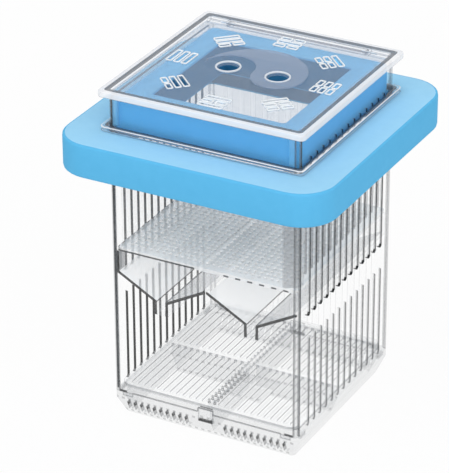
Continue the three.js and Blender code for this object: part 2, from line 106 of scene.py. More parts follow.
# Cosines: within 14, 26, 53 and 73 degrees of a direction.
EXACTLY, SQUARELY, ROUGHLY, WIDELY = 0.97, 0.9, 0.6, 0.3


def along(axis):
    """A place along an axis of the box, in mm."""
    def value(tree):
        where = add(tree, "ShaderNodeTexCoord").outputs["Object"]
        parts = add(tree, "ShaderNodeSeparateXYZ", {"Vector": where})
        scaled = add(tree, "ShaderNodeMath", {0: parts.outputs[axis], 1: 1 / MM}, operation="MULTIPLY")
        return scaled.outputs[0]
    return value


def faces(direction):
    """How squarely a face looks in a direction, from -1 to 1."""
    def value(tree):
        normal = add(tree, "ShaderNodeTexCoord").outputs["Normal"]
        turned = add(tree, "ShaderNodeVectorMath", {0: normal, 1: direction}, operation="DOT_PRODUCT")
        # A face seen from inside the plastic gives its normal turned round, so it is turned back here.
        behind = add(tree, "ShaderNodeNewGeometry").outputs["Backfacing"]
        sign = add(tree, "ShaderNodeMath", {0: behind, 1: -2.0, 2: 1.0}, operation="MULTIPLY_ADD")
        signed = add(tree, "ShaderNodeMath", {0: turned.outputs["Value"], 1: sign.outputs[0]},
                     operation="MULTIPLY")
        return signed.outputs[0]
    return value


X, Y, Z = along("X"), along("Y"), along("Z")
print("a face counts as square within", round(math.degrees(math.acos(SQUARELY))), "degrees")

# %% [markdown]
# Two measures are made from others: the distance from a middle value, which treats both sides alike, and a
# wave, which gives dashes and dots at an even pitch. The mask multiplies what all its conditions give.

# %% Distance, wave and mask
SIGNS = {">": "GREATER_THAN", "<": "LESS_THAN"}


def distance(measure, middle=0.0):
    """How far a measure is from a middle value, on either side of it."""
    def value(tree):
        moved = add(tree, "ShaderNodeMath", {0: measure(tree), 1: middle}, operation="SUBTRACT")
        return add(tree, "ShaderNodeMath", {0: moved.outputs[0]}, operation="ABSOLUTE").outputs[0]
    return value


def wave(measure, pitch, start=0.0):
    """A sine that repeats at a pitch in mm and rises through zero at the start."""
    def value(tree):
        moved = add(tree, "ShaderNodeMath", {0: measure(tree), 1: start}, operation="SUBTRACT")
        turned = add(tree, "ShaderNodeMath", {0: moved.outputs[0], 1: 2 * math.pi / pitch},
                     operation="MULTIPLY")
        return add(tree, "ShaderNodeMath", {0: turned.outputs[0]}, operation="SINE").outputs[0]
    return value


def mask(tree, conditions):
    """1 where all conditions hold; each is a measure, > or <, and a limit."""
    whole = 1.0
    for measure, sign, limit in conditions:
        holds = add(tree, "ShaderNodeMath", {0: measure(tree), 1: limit}, operation=SIGNS[sign])
        both = add(tree, "ShaderNodeMath", {0: whole, 1: holds.outputs[0]}, operation="MULTIPLY")
        whole = both.outputs[0]
    return whole


print("conditions take", " or ".join(SIGNS))

# %% [markdown]
# ## Clear plastic
# The box is injection moulded from clear polystyrene: IOR about 1.59 and a polished, slightly wavy skin.
# Full glass would cost many bounces and turn grey behind ten sheets. Here each sheet is nearly see-through
# by its alpha instead, and a Layer Weight raises that alpha where the sheet is seen at a flat angle, as a
# real one shines there. The layers on top paint light and shade into the narrow faces, each with its own
# colour and density, in place of the light that real cut edges bend.

# %% Clear plastic
CRYSTAL_IOR = 1.59
# Repeats per mm. The skin's waves are 12.5 mm long. Its grain, 1.5 mm, is drawn coarser than the real one,
# which would be too fine to show.
WAVES, GRAINS = 0.08, 0.65


def clear_plastic(name, face, alpha, shine=0.3, rough=0.08, layers=()):
    """A clear sheet; each layer is a list of conditions with the colour and the density of its painted light
    and shade.
    """
    material, tree = empty_material(name)
    where = add(tree, "ShaderNodeTexCoord").outputs["Object"]
    waves = add(tree, "ShaderNodeTexNoise", {"Vector": where, "Scale": WAVES / MM, "Detail": 1.0})
    grain = add(tree, "ShaderNodeTexNoise", {"Vector": where, "Scale": GRAINS / MM, "Detail": 2.0})
    gloss = add(tree, "ShaderNodeMapRange", {
        "Value": grain.outputs["Fac"], "To Min": rough * 0.6, "To Max": rough * 1.5})
    bump = add(tree, "ShaderNodeBump", {
        "Strength": 0.15, "Distance": 0.4 * MM, "Height": waves.outputs["Fac"]})
    flat = add(tree, "ShaderNodeLayerWeight", {"Blend": 0.08}).outputs["Facing"]
    dense = add(tree, "ShaderNodeMath", {0: flat, 1: shine, 2: alpha}, operation="MULTIPLY_ADD").outputs[0]
    colour = linear(face)
    for conditions, tint, density in layers:
        here = mask(tree, conditions)
        tinted = {"Factor": here, "A": colour, "B": linear(tint)}
        colour = add(tree, "ShaderNodeMix", tinted, data_type="RGBA").outputs["Result"]
        dense = add(tree, "ShaderNodeMix", {"Factor": here, "A": dense, "B": density}).outputs["Result"]
    skin = add(tree, "ShaderNodeBsdfPrincipled", {
        "Base Color": colour, "Roughness": gloss.outputs["Result"], "IOR": CRYSTAL_IOR, "Alpha": dense,
        "Normal": bump.outputs["Normal"]})
    add(tree, "ShaderNodeOutputMaterial", {"Surface": skin.outputs["BSDF"]})
    return material


wall_sheet = clear_plastic("polystyrene wall", "FAFBFC", 0.015, shine=0.12)
print("clear plastic:", wall_sheet.name, "with", len(wall_sheet.node_tree.nodes), "nodes")

# %% [markdown]
# ## A sheet with holes
# The walls, the floor and the tray's plate are all the same idea: a flat sheet with rows of equal slots or
# round holes. Cutting hundreds of holes with booleans is slow and leaves a messy mesh. A Geometry Nodes
# tree draws the outline and the holes as curves instead, fills what lies between them, and gives the fill
# its thickness. Its inputs are named sizes, so one tree makes every sheet, with up to three groups of
# holes, A, B and C.

# %% Inputs of the sheet tree
SHEET_SIZES = ("Sheet width", "Sheet height", "Corner radius", "Thickness", "Lip depth")
SHEET_MATERIALS = ("Sheet", "Lip", "Bore")
HOLE_SIZES = {"Columns": "Int", "Column pitch": "Float", "Rows": "Int", "Row pitch": "Float",
              "Width": "Float", "Length": "Float", "Centre": "Vector"}
HOLE_GROUPS = "ABC"
SHEET_TREE = bpy.data.node_groups.new("Sheet with holes", "GeometryNodeTree")
SHEET_TREE.interface.new_socket("Geometry", in_out="OUTPUT", socket_type="NodeSocketGeometry")
sockets = [(label, "Float") for label in SHEET_SIZES]
sockets += [(label, "Material") for label in SHEET_MATERIALS]
sockets += [(f"{letter} {label}", kind) for letter in HOLE_GROUPS for label, kind in HOLE_SIZES.items()]
for label, kind in sockets:
    SHEET_TREE.interface.new_socket(label, in_out="INPUT", socket_type="NodeSocket" + kind)
print("the tree takes", len(sockets), "inputs")

# %% [markdown]
# One group of holes is a grid: a line of points across, with a line of points up from each. An outline with
# round ends goes on every point. A hole as long as it is wide comes out round. The ends stop just short of
# half the width, because points that meet would spoil the fill.

# %% One group of holes
END_RADIUS, END_STEPS = 0.49, 3


def hole_outlines(tree, size):
    """A grid of equal holes as closed curves."""
    spans = []
    for number, pitch in (("Columns", "Column pitch"), ("Rows", "Row pitch")):
        gaps = add(tree, "ShaderNodeMath", {0: size[number], 1: -1.0}, operation="ADD").outputs[0]
        span = add(tree, "ShaderNodeMath", {0: gaps, 1: size[pitch]}, operation="MULTIPLY")
        spans.append(span.outputs[0])
    grid_size = add(tree, "ShaderNodeCombineXYZ", {"X": spans[0], "Y": spans[1]}).outputs[0]
    start = add(tree, "ShaderNodeVectorMath", {
        0: grid_size, 1: (-0.5, -0.5, 0.0), 2: size["Centre"]}, operation="MULTIPLY_ADD").outputs[0]
    right_step = add(tree, "ShaderNodeCombineXYZ", {"X": size["Column pitch"]}).outputs[0]
    up_step = add(tree, "ShaderNodeCombineXYZ", {"Y": size["Row pitch"]}).outputs[0]
    across = add(tree, "GeometryNodeMeshLine", {
        "Count": size["Columns"], "Start Location": start, "Offset": right_step}).outputs["Mesh"]
    up = add(tree, "GeometryNodeMeshLine", {"Count": size["Rows"], "Offset": up_step}).outputs["Mesh"]
    grid = add(tree, "GeometryNodeInstanceOnPoints", {"Points": across, "Instance": up}).outputs["Instances"]
    places = add(tree, "GeometryNodeRealizeInstances", {"Geometry": grid}).outputs["Geometry"]
    hole = add(tree, "GeometryNodeCurvePrimitiveQuadrilateral", {
        "Width": size["Width"], "Height": size["Length"]}).outputs["Curve"]
    radius = add(tree, "ShaderNodeMath", {0: size["Width"], 1: END_RADIUS}, operation="MULTIPLY")
    round_hole = add(tree, "GeometryNodeFilletCurve", {
        "Curve": hole, "Radius": radius.outputs[0], "Count": END_STEPS}, mode="POLY").outputs["Curve"]
    copies = add(tree, "GeometryNodeInstanceOnPoints", {"Points": places, "Instance": round_hole})
    return add(tree, "GeometryNodeRealizeInstances", {"Geometry": copies.outputs["Instances"]}).outputs[0]


given = add(SHEET_TREE, "NodeGroupInput").outputs
outlines = []
for letter in HOLE_GROUPS:
    size = {label: given[f"{letter} {label}"] for label in HOLE_SIZES}
    outlines.append(hole_outlines(SHEET_TREE, size))
print("groups of holes:", len(outlines))

# %% [markdown]
# A moulded slot looks dark only along its lip, the first part of its depth, where the eye sees the cut edge,
# and that dark is painted shade in the lip's material.
# So the fill is given its thickness in two steps. The faces of the first step are the lip and those of the
# second the bore, and each takes its own material. The tree ends in Realize Instances and Set Material.

# %% The whole sheet
CORNER_STEPS, MERGE_DISTANCE, UPWARDS = 8, 0.001 * MM, (0.0, 0.0, 1.0)

border = add(SHEET_TREE, "GeometryNodeCurvePrimitiveQuadrilateral", {
    "Width": given["Sheet width"], "Height": given["Sheet height"]})
rounded = add(SHEET_TREE, "GeometryNodeFilletCurve", {
    "Curve": border.outputs["Curve"], "Radius": given["Corner radius"], "Count": CORNER_STEPS}, mode="POLY")
drawn = add(SHEET_TREE, "GeometryNodeJoinGeometry")
for curve in reversed([rounded.outputs["Curve"], *outlines]):
    SHEET_TREE.links.new(curve, drawn.inputs[0])
fill = add(SHEET_TREE, "GeometryNodeFillCurve", {"Curve": drawn.outputs[0]}).outputs["Mesh"]
lip = add(SHEET_TREE, "GeometryNodeExtrudeMesh", {
    "Mesh": fill, "Offset": UPWARDS, "Offset Scale": given["Lip depth"], "Individual": False}).outputs
rest = add(SHEET_TREE, "ShaderNodeMath", {
    0: given["Thickness"], 1: given["Lip depth"]}, operation="SUBTRACT")
bore = add(SHEET_TREE, "GeometryNodeExtrudeMesh", {
    "Mesh": lip["Mesh"], "Selection": lip["Top"], "Offset": UPWARDS, "Offset Scale": rest.outputs[0],
    "Individual": False}).outputs
under = add(SHEET_TREE, "GeometryNodeFlipFaces", {"Mesh": fill})
shell = add(SHEET_TREE, "GeometryNodeJoinGeometry")
SHEET_TREE.links.new(under.outputs[0], shell.inputs[0])
SHEET_TREE.links.new(bore["Mesh"], shell.inputs[0])
closed = add(SHEET_TREE, "GeometryNodeMergeByDistance", {
    "Geometry": shell.outputs[0], "Distance": MERGE_DISTANCE})
last = add(SHEET_TREE, "GeometryNodeRealizeInstances", {"Geometry": closed.outputs[0]})
chosen_faces = {"Sheet": True, "Lip": lip["Side"], "Bore": bore["Side"]}
for label, chosen in chosen_faces.items():
    last = add(SHEET_TREE, "GeometryNodeSetMaterial", {
        "Geometry": last.outputs[0], "Material": given[label], "Selection": chosen})
add(SHEET_TREE, "NodeGroupOutput", {"Geometry": last.outputs[0]})
print("sheet tree:", len(SHEET_TREE.nodes), "nodes")

# %% [markdown]
# ## From a tree to a piece
# A piece that moves with the box has to be a plain mesh with its place in its vertices. So each sheet is
# made lying down at the middle of the frame, evaluated, copied to a mesh, stood up and turned to where it
# belongs, and only then tied to its body. Clear pieces cast no shadow, because light passes through them.

# %% Finish any mesh as a piece
SMOOTH_ANGLE = 35


def filled_mesh(name, bm, materials):
    """A mesh with the shape of a bmesh, and with its materials."""
    mesh = bpy.data.meshes.new(name)
    bm.to_mesh(mesh)
    bm.free()
    for material in materials:
        mesh.materials.append(material)
    return mesh


def keep(name, mesh, body, replaces=(), slot="clear_plastic", sharp=SMOOTH_ANGLE):
    """A piece on its body, smooth except where its faces meet at a sharper angle, in degrees."""
    mesh.name = name
    mesh.polygons.foreach_set("use_smooth", [True] * len(mesh.polygons))
    mesh.set_sharp_from_angle(angle=math.radians(sharp))
    piece = bpy.data.objects.new(name, mesh)
    bpy.context.scene.collection.objects.link(piece)
    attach(piece, body)
    if replaces:
        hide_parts(*replaces)
    piece.visible_shadow = slot != "clear_plastic"
    return piece


print("pieces are smooth up to", SMOOTH_ANGLE, "degrees")

# %% [markdown]
# A modifier keeps its values under the identifiers of the sockets and not under their names. They are set
# before the object is first evaluated, because a later change might not be seen. A group that a sheet
# doesn't need has no columns, so it makes no holes.

# %% Make a sheet from the tree
def holes(columns, column_pitch, rows, row_pitch, width, length, centre=(0.0, 0.0)):
    """One group's inputs under the labels of the tree, from sizes in mm."""
    return {"Columns": columns, "Column pitch": column_pitch * MM, "Rows": rows, "Row pitch": row_pitch * MM,
            "Width": width * MM, "Length": length * MM, "Centre": (centre[0] * MM, centre[1] * MM, 0.0)}


NO_HOLES = holes(0, 1, 0, 1, 1, 1)


def sheet_with_holes(size, materials, groups):
    """The tree's mesh, for the five sheet sizes in mm, three materials and up to three groups of holes."""
    values = dict(zip(SHEET_SIZES, [v * MM for v in size]))
    values.update(zip(SHEET_MATERIALS, materials))
    for letter, group in zip(HOLE_GROUPS, list(groups) + [NO_HOLES] * len(HOLE_GROUPS)):
        values.update({f"{letter} {label}": value for label, value in group.items()})
    carrier = bpy.data.objects.new("sheet", bpy.data.meshes.new("sheet"))
    bpy.context.scene.collection.objects.link(carrier)
    modifier = carrier.modifiers.new("Sheet", "NODES")
    modifier.node_group = SHEET_TREE
    for item in SHEET_TREE.interface.items_tree:
        if item.in_out == "INPUT":
            modifier[item.identifier] = values[item.name]
    bpy.context.view_layer.update()
    shown = carrier.evaluated_get(bpy.context.evaluated_depsgraph_get())
    mesh = bpy.data.meshes.new_from_object(shown)
    bpy.data.objects.remove(carrier)
    return mesh


print("a sheet takes", len(SHEET_SIZES), "sizes and", len(SHEET_MATERIALS), "finishes")

# %% [markdown]
# ## The three slotted walls
# Three walls are open in two tiers of upright slots, a short one round the lower chamber and a tall one
# round the tray. The slots have round ends, as a mould's pins leave them. One wall is drawn at the back and
# turned to the side it belongs to, and it gets two small tabs that sit in pockets of the foot.

# %% Sizes of a wall and its slots
WALL_LOW, WALL_HIGH = ends("back_left_post", "z")
WALL_HALF = ends("back_slotted_panel", "x")[1]
WALL_INSIDE, WALL_OUTSIDE = ends("back_slotted_panel", "y")
WALL_MIDDLE = (WALL_LOW + WALL_HIGH) / 2
WALL_CORNER = 0.2
SLOT_COUNT, SLOT_PITCH, SLOT_WIDTH = 13, 6.48, 2.8
LOWER_TIER = (WALL_LOW + 1.5, WALL_LOW + 50.0)
UPPER_TIER = (LOWER_TIER[1] + 11.5, WALL_HIGH - 11.9)
TAB_WIDTH, TAB_THICKNESS, TAB_DEPTH = 5.0, 0.7, 2.2
TAB_MARGIN, TAB_INSET, TAB_OVERLAP = 1.8, 0.65, 0.3
print("tiers of slots:", LOWER_TIER, UPPER_TIER)

# %% [markdown]
# The tabs are plain boxes that run a little way into the wall. They go in while the wall stands at the
# back, so one turn takes the sheet and its tabs to their side together. The first material slot, the
# sheet's own, is theirs too.

# %% Stand a wall up
def wall_tabs(mesh):
    """Adds the two tabs under a wall that stands at the back."""
    right, behind = WALL_HALF - TAB_MARGIN, WALL_OUTSIDE - TAB_INSET
    low = Vector((right - TAB_WIDTH, behind - TAB_THICKNESS, WALL_LOW - TAB_DEPTH))
    high = Vector((right, behind, WALL_LOW + TAB_OVERLAP))
    centre, span = (low + high) / 2, high - low
    bm = bmesh.new()
    bm.from_mesh(mesh)
    for side in (-1, 1):
        place = Vector((side * centre.x, centre.y, centre.z))
        bmesh.ops.create_cube(bm, matrix=Matrix.LocRotScale(place * MM, None, span * MM))
    bm.to_mesh(mesh)
    bm.free()


def slotted_wall(name, node, quarter, lip_depth, lip, bore):
    """A wall turned by quarters from the back, with the lip and bore materials of its slots, where their
    painted shade goes.
    """
    tiers = []
    for low, high in (LOWER_TIER, UPPER_TIER):
        centre = (0.0, (low + high) / 2 - WALL_MIDDLE)
        tiers.append(holes(SLOT_COUNT, SLOT_PITCH, 1, 1, SLOT_WIDTH, high - low, centre))
    size = (2 * WALL_HALF, WALL_HIGH - WALL_LOW, WALL_CORNER, WALL_OUTSIDE - WALL_INSIDE, lip_depth)
    mesh = sheet_with_holes(size, (wall_sheet, lip, bore), tiers)
    stand = Matrix.Rotation(math.radians(90), 4, "X")
    place = Matrix.Translation(Vector((0, WALL_OUTSIDE, WALL_MIDDLE)) * MM)
    mesh.transform(place @ stand)
    wall_tabs(mesh)
    mesh.transform(Matrix.Rotation(math.radians(90 * quarter), 4, "Z"))
    return keep(name, mesh, "box", [node])


print("a wall stands", WALL_MIDDLE, "mm up at its middle")

# %% [markdown]
# In the side walls only the faces of a slot that turn to the front or up are painted dark, and in the right
# wall most of all the lower ends of the upper tier. This dark and the back wall's grey are painted shade for
# the light that the cut edges bend away. A lip starts at the outer face of its wall. The left wall is seen
# from its inside, so its lip goes almost right through. The back wall is seen through the whole box, so its
# lips are just a faint grey.

# %% Slotted walls
TO_FRONT_AND_UP, LIP_LIMIT, END_LIMIT = (0.0, -1.0, 0.6), 0.45, 0.25
BACK_DEPTH, LEFT_DEPTH, RIGHT_DEPTH = 0.5, 1.35, 0.8
BELOW_UPPER, ENDS_HIGH = UPPER_TIER[0] - 4.0, UPPER_TIER[0] + 2.5
# The lip colours below are painted shade.
lip_shade = [(faces(TO_FRONT_AND_UP), ">", LIP_LIMIT)]
upper_tier_shade = lip_shade + [(Z, ">", BELOW_UPPER)]
low_end_shade = [(faces(UP), ">", END_LIMIT), (Z, ">", BELOW_UPPER), (Z, "<", ENDS_HIGH)]

left_lip = clear_plastic("polystyrene slot lip with painted shade, left wall", "F4F6F8", 0.03, layers=[
    (lip_shade, "08090A", 1.0)])
right_bore = clear_plastic("polystyrene slot bore with painted shade, right wall", "F4F6F8", 0.03, layers=[
    (lip_shade, "9A9DA0", 0.35), (low_end_shade, "08090A", 1.0)])
right_lip = clear_plastic("polystyrene slot lip with painted shade, right wall", "F4F6F8", 0.03, layers=[
    (lip_shade, "4A4D50", 0.75), (upper_tier_shade, "2E3033", 0.85), (low_end_shade, "08090A", 1.0)])
back_lip = clear_plastic("polystyrene slot lip with painted shade, back wall", "7C8286", 0.25, shine=0.1)
walls = [
    slotted_wall("back_wall", "back_slotted_panel", 0, BACK_DEPTH, back_lip, wall_sheet),
    slotted_wall("left_wall", "left_slotted_panel", 1, LEFT_DEPTH, left_lip, wall_sheet),
    slotted_wall("right_wall", "right_slotted_panel", -1, RIGHT_DEPTH, right_lip, right_bore),
]
print("walls:", [(wall.name, len(wall.data.polygons)) for wall in walls])

# %% [markdown]
# ## The slotted floor
# The floor lets waste fall into the foot: long slots in two rows either side of a middle rib, which has two
# rows of small round holes of its own. It is the same tree with other sizes. The left side of each slot and
# the rib's holes towards the front are painted dark, and the faces that look to the front painted grey, as
# painted shade.

# %% Slotted floor
FLOOR_HALF = ends("floor_grid", "x")[1]
FLOOR_LOW, FLOOR_HIGH = ends("floor_grid", "z")
FLOOR_CORNER, FLOOR_LIP = 5.5, 0.6
FLOOR_COLUMNS, FLOOR_PITCH, FLOOR_SLOT, FLOOR_SLOT_LENGTH = 12, 3.55, 1.8, 41.0
MIDDLE_RIB, CROSS_RIB, DARK_UP_TO = 7.0, 5.0, -10.0
RIB_HOLE, RIB_COLUMN_PITCH, RIB_HOLES, RIB_HOLE_PITCH = 1.5, 3.0, 26, 3.4

# These layers are painted shade.
front_face = [(faces(FRONT), ">", WIDELY)]
left_side_shade = [(faces(RIGHT), ">", ROUGHLY)]
rib_hole_shade = [(distance(X), "<", MIDDLE_RIB / 2 - 0.1), (Y, "<", DARK_UP_TO)]
floor_sheet = clear_plastic("polystyrene floor with painted shade", "EDEFF1", 0.10, shine=0.2, layers=[
    (front_face, "8E9296", 0.6)])
floor_lip = clear_plastic("polystyrene slot lip with painted shade, floor", "C9CCCF", 0.16, layers=[
    (left_side_shade, "6A6E72", 0.75), (rib_hole_shade, "33363A", 0.85)])

cluster = MIDDLE_RIB / 2 + FLOOR_SLOT / 2 + (FLOOR_COLUMNS - 1) / 2 * FLOOR_PITCH
row_pitch = FLOOR_SLOT_LENGTH + CROSS_RIB
floor_groups = [holes(FLOOR_COLUMNS, FLOOR_PITCH, 2, row_pitch, FLOOR_SLOT, FLOOR_SLOT_LENGTH, (x, 0))
                for x in (-cluster, cluster)]
floor_groups.append(holes(2, RIB_COLUMN_PITCH, RIB_HOLES, RIB_HOLE_PITCH, RIB_HOLE, RIB_HOLE))
floor_size = (2 * FLOOR_HALF, 2 * FLOOR_HALF, FLOOR_CORNER, FLOOR_HIGH - FLOOR_LOW, FLOOR_LIP)
floor_mesh = sheet_with_holes(floor_size, (floor_sheet, floor_lip, floor_sheet), floor_groups)
floor_mesh.transform(Matrix.Translation((0, 0, FLOOR_LOW * MM)))
floor_piece = keep("slotted_floor", floor_mesh, "box", ["floor_grid"])
print("floor:", floor_piece.name, len(floor_mesh.polygons), "faces")

# %% [markdown]
# ## The perforated plate
# The plate is the tray's floor. It has a fine, even pattern of 2 mm holes that look like bubbles, because
# each one is a tiny lens that shows its far side as a grey arc, painted as shade on the hole's faces. The
# plate's front edge is painted dark at the left and in dashes at the right, and its left edge is painted
# with dark dots, as painted shade where the holes break up the light that runs along it.

# %% Perforated plate
PLATE_HALF = ends("perforated_plate", "x")[1]
PLATE_LOW, PLATE_HIGH = ends("perforated_plate", "z")
PLATE_CORNER, PLATE_LIP = 2.0, 0.9
PLATE_HOLES, PLATE_PITCH, PLATE_HOLE = 26, 3.4, 2.0
DASH_PITCH, DASH_START, DASH_LIMIT, DOT_PITCH, DOT_LIMIT = 6.3, 9.3, 0.2, 4.8, -0.3
LINE_UP_TO, DASHES_FROM, BUBBLES_FROM = -6.0, 8.5, 1.0 - PLATE_HALF
EDGE_DEPTH, EDGE_HEIGHT, DOT_DEPTH = 0.4, 1.0, 0.8

# The grey arcs of the bubbles are painted shade on the faces of the holes.
bubbles = front_face + [(Y, ">", BUBBLES_FROM)]
front_edge = [(Y, "<", EDGE_DEPTH - PLATE_HALF), (Z, "<", PLATE_LOW + EDGE_HEIGHT)]
edge_line_shade = front_edge + [(X, "<", LINE_UP_TO)]
edge_dash_shade = front_edge + [(X, ">", DASHES_FROM), (wave(X, DASH_PITCH, DASH_START), ">", DASH_LIMIT)]
left_dot_shade = [(X, "<", DOT_DEPTH - PLATE_HALF), (wave(Y, DOT_PITCH), ">", DOT_LIMIT)]
plate_sheet = clear_plastic("frosted polystyrene plate with painted shade", "FEFEFD", 0.42, shine=0.2, rough=0.3, layers=[
    (left_dot_shade, "33363A", 0.6)])
plate_lip = clear_plastic("frosted polystyrene hole lip with painted shade", "FEFEFE", 0.40, rough=0.3, layers=[
    (bubbles, "7C7F82", 0.7), (edge_line_shade, "26282B", 0.9), (edge_dash_shade, "26282B", 0.9),
    (left_dot_shade, "33363A", 0.85)])

plate_size = (2 * PLATE_HALF, 2 * PLATE_HALF, PLATE_CORNER, PLATE_HIGH - PLATE_LOW, PLATE_LIP)
plate_mesh = sheet_with_holes(plate_size, (plate_sheet, plate_lip, plate_sheet), [
    holes(PLATE_HOLES, PLATE_PITCH, PLATE_HOLES, PLATE_PITCH, PLATE_HOLE, PLATE_HOLE)])
plate_mesh.transform(Matrix.Translation((0, 0, PLATE_LOW * MM)))
plate_piece = keep("bubble_plate", plate_mesh, "tray", ["perforated_plate"])
print("plate:", plate_piece.name, len(plate_mesh.polygons), "faces")

# %% [markdown]
# ## Rings swept round a square
# The float, the foam ring in the neck, the collar and the lid's frame all run round a square with round
# corners. A section goes round it: a closed list of points, each with its distance from the middle, its
# corner radius, its height, the material of the strip that follows it and the material of its own corner.
# Every corner is softened first, because a moulded or die-cut edge is never sharp and the light along it is
# what shows the piece.

# %% Soften a section
def square_loop(half, radius, steps=8):
    points = []
    for quarter in range(4):
        start = (quarter - 1) * math.pi / 2
        middle = start + math.pi / 4
        x = math.copysign(half - radius, math.cos(middle))
        y = math.copysign(half - radius, math.sin(middle))
        for step in range(steps + 1):
            angle = start + step / steps * math.pi / 2
            points.append((x + radius * math.cos(angle), y + radius * math.sin(angle)))
    return points


def soften(section, edge, steps=3):
    """Turns each corner (half, radius, height, strip, corner) into an arc."""
    out = []
    for i, (*point, strip, corner) in enumerate(section):
        here = Vector(point)
        before, after = Vector(section[i - 1][:3]), Vector(section[(i + 1) % len(section)][:3])
        one, two = ((next_to - here) * (edge / math.hypot(next_to[0] - here[0], next_to[2] - here[2]))
                    for next_to in (before, after))
        for step in range(steps + 1):
            t = step / steps
            out.append((*(here + one * (1 - t) ** 2 + two * t ** 2), strip if step == steps else corner))
    return out


print("a square loop has", len(square_loop(50, 5)), "points")

# %% [markdown]
# The sweep joins each loop to the next with a strip of faces. Where a section's point has a corner radius
# of its own, the loops differ in shape but not in their number of points, so the strips always match up.

# %% Sweep a section round a square
SAME_POINT = 0.0001 * MM


def sweep(name, section, materials, body, replaces, slot="clear_plastic", sharp=SMOOTH_ANGLE):
    loops = [square_loop(half, radius) for half, radius, _, _ in section]
    count = len(loops[0])
    bm = bmesh.new()
    rings = [[bm.verts.new((x * MM, y * MM, section[i][2] * MM)) for x, y in loop]
             for i, loop in enumerate(loops)]
    for i, ring in enumerate(rings):
        after = rings[(i + 1) % len(rings)]
        for j in range(count):
            k = (j + 1) % count
            bm.faces.new((ring[j], ring[k], after[k], after[j])).material_index = section[i][3]
    bmesh.ops.remove_doubles(bm, verts=bm.verts, dist=SAME_POINT)
    bmesh.ops.recalc_face_normals(bm, faces=bm.faces)
    return keep(name, filled_mesh(name, bm, materials), body, replaces, slot, sharp)


print("sweep ready for the foam rings, the collar and the lid's frame")

# %% [markdown]
# ## Blue foam
# Both rings are die-cut from EVA foam, about as matt as chalk. The sheet's skin is painted a paler blue than
# its cut sides, as a painted sheen, and both show fine closed cells under a millimetre across. The faces of
# the hole are painted darker still, as painted shade, because little light reaches them. The ring in the
# neck has its own copies of these colours, with its painted light and shade set for its place under the lid.
# A small bump and a colour that varies by a few percent give the cells.

# %% Foam colours with painted sheen and shade
# Repeats per mm: the cells are 0.7 mm across, and the colour varies over 4.5 mm.
CELLS, CLOUDS = 1.4, 0.22


def eva_foam(name, colour, deeper):
    material, tree = empty_material(name)
    where = add(tree, "ShaderNodeTexCoord").outputs["Object"]
    cells = add(tree, "ShaderNodeTexVoronoi", {"Vector": where, "Scale": CELLS / MM})
    cloud = add(tree, "ShaderNodeTexNoise", {"Vector": where, "Scale": CLOUDS / MM, "Detail": 4.0})
    mixed = add(tree, "ShaderNodeMix", {
        "Factor": cloud.outputs["Fac"], "A": linear(colour), "B": linear(deeper)}, data_type="RGBA")
    bump = add(tree, "ShaderNodeBump", {
        "Strength": 0.2, "Distance": 0.2 * MM, "Height": cells.outputs["Distance"]})
    skin = add(tree, "ShaderNodeBsdfPrincipled", {
        "Base Color": mixed.outputs["Result"], "Roughness": 0.9, "IOR": 1.45,
        "Normal": bump.outputs["Normal"]})
    add(tree, "ShaderNodeOutputMaterial", {"Surface": skin.outputs["BSDF"]})
    return material


# The skin's paler blue is painted sheen, the hole's dark blue painted shade, and the neck ring's colours its
# own painted light and shade.
sheen_foam_skin = eva_foam("EVA foam skin with painted sheen", "A4DCFB", "9AD5F7")
foam_side = eva_foam("EVA foam cut side", "60BEEE", "58B7E8")
foam_shade = eva_foam("EVA foam round the body, painted shade", "0E5A86", "0B4F78")
sheen_neck_top = eva_foam("EVA foam skin with painted sheen in the neck", "86D2FC", "7ACAF6")
shaded_neck_side = eva_foam("EVA foam cut side in the neck, painted shade", "58B2EC", "4EA9E3")
neck_hole_shade = eva_foam("EVA foam cut hole in the neck, painted shade", "1A6C9C", "15638F")
print("foam finishes:", sheen_foam_skin.name, "and five more")

# %% [markdown]
# ## Float and foam ring in the neck
# The float grips the body and carries the whole box. The smaller ring lies in the neck, on the tray. Both
# have a plain rectangular section with softened edges, so one function makes their sections. They are soft.

# %% Float and foam ring in the neck
SKIN, EDGE, SIDE, HOLE = range(4)
FIT_GAP, BODY_CORNER, ALL_SMOOTH = 0.3, 2.3, 180
FLOAT_CORNER, FLOAT_EDGE = 18.0, 1.1
NECK_BORDER, NECK_CORNER, NECK_HOLE_CORNER, NECK_EDGE = 13.6, 3.0, 1.5, 0.6


def foam_section(node, hole, hole_radius, radius, edge):
    """A ring's section, up its outside and down its inside."""
    half = ends(node, "x")[1]
    low, high = ends(node, "z")
    corners = [(half, radius, low, SIDE), (half, radius, high, SKIN),
               (hole, hole_radius, high, HOLE), (hole, hole_radius, low, SKIN)]
    return soften([(*corner, EDGE) for corner in corners], edge)


BODY_HOLE, BODY_HOLE_CORNER = WALL_OUTSIDE + FIT_GAP, BODY_CORNER + FIT_GAP
float_section = foam_section("float_ring", BODY_HOLE, BODY_HOLE_CORNER, FLOAT_CORNER, FLOAT_EDGE)
float_piece = sweep("foam_float", float_section, [sheen_foam_skin, foam_side, foam_side, foam_shade],
                    "float", ["float_ring"], "blue_foam", ALL_SMOOTH)
neck_opening = ends("neck_foam_ring", "x")[1] - NECK_BORDER
neck_section = foam_section("neck_foam_ring", neck_opening, NECK_HOLE_CORNER, NECK_CORNER, NECK_EDGE)
neck_piece = sweep("neck_foam", neck_section, [sheen_neck_top, shaded_neck_side, shaded_neck_side, neck_hole_shade],
                   "neck_ring", ["neck_foam_ring"], "blue_foam", ALL_SMOOTH)
print("foam rings:", float_piece.name, neck_piece.name)

# %% [markdown]
# ## Collar
# The collar is a clear flange glued round the walls above the float, and it stops the float. Light that
# enters its thick rim leaves along its upper outer edge, so that is painted white as a painted highlight,
# while the lower edge is painted grey and the strip next to the wall dark, both as painted shade. It is
# thick enough to shade the foam beside it, so it is the one clear piece that casts a shadow.

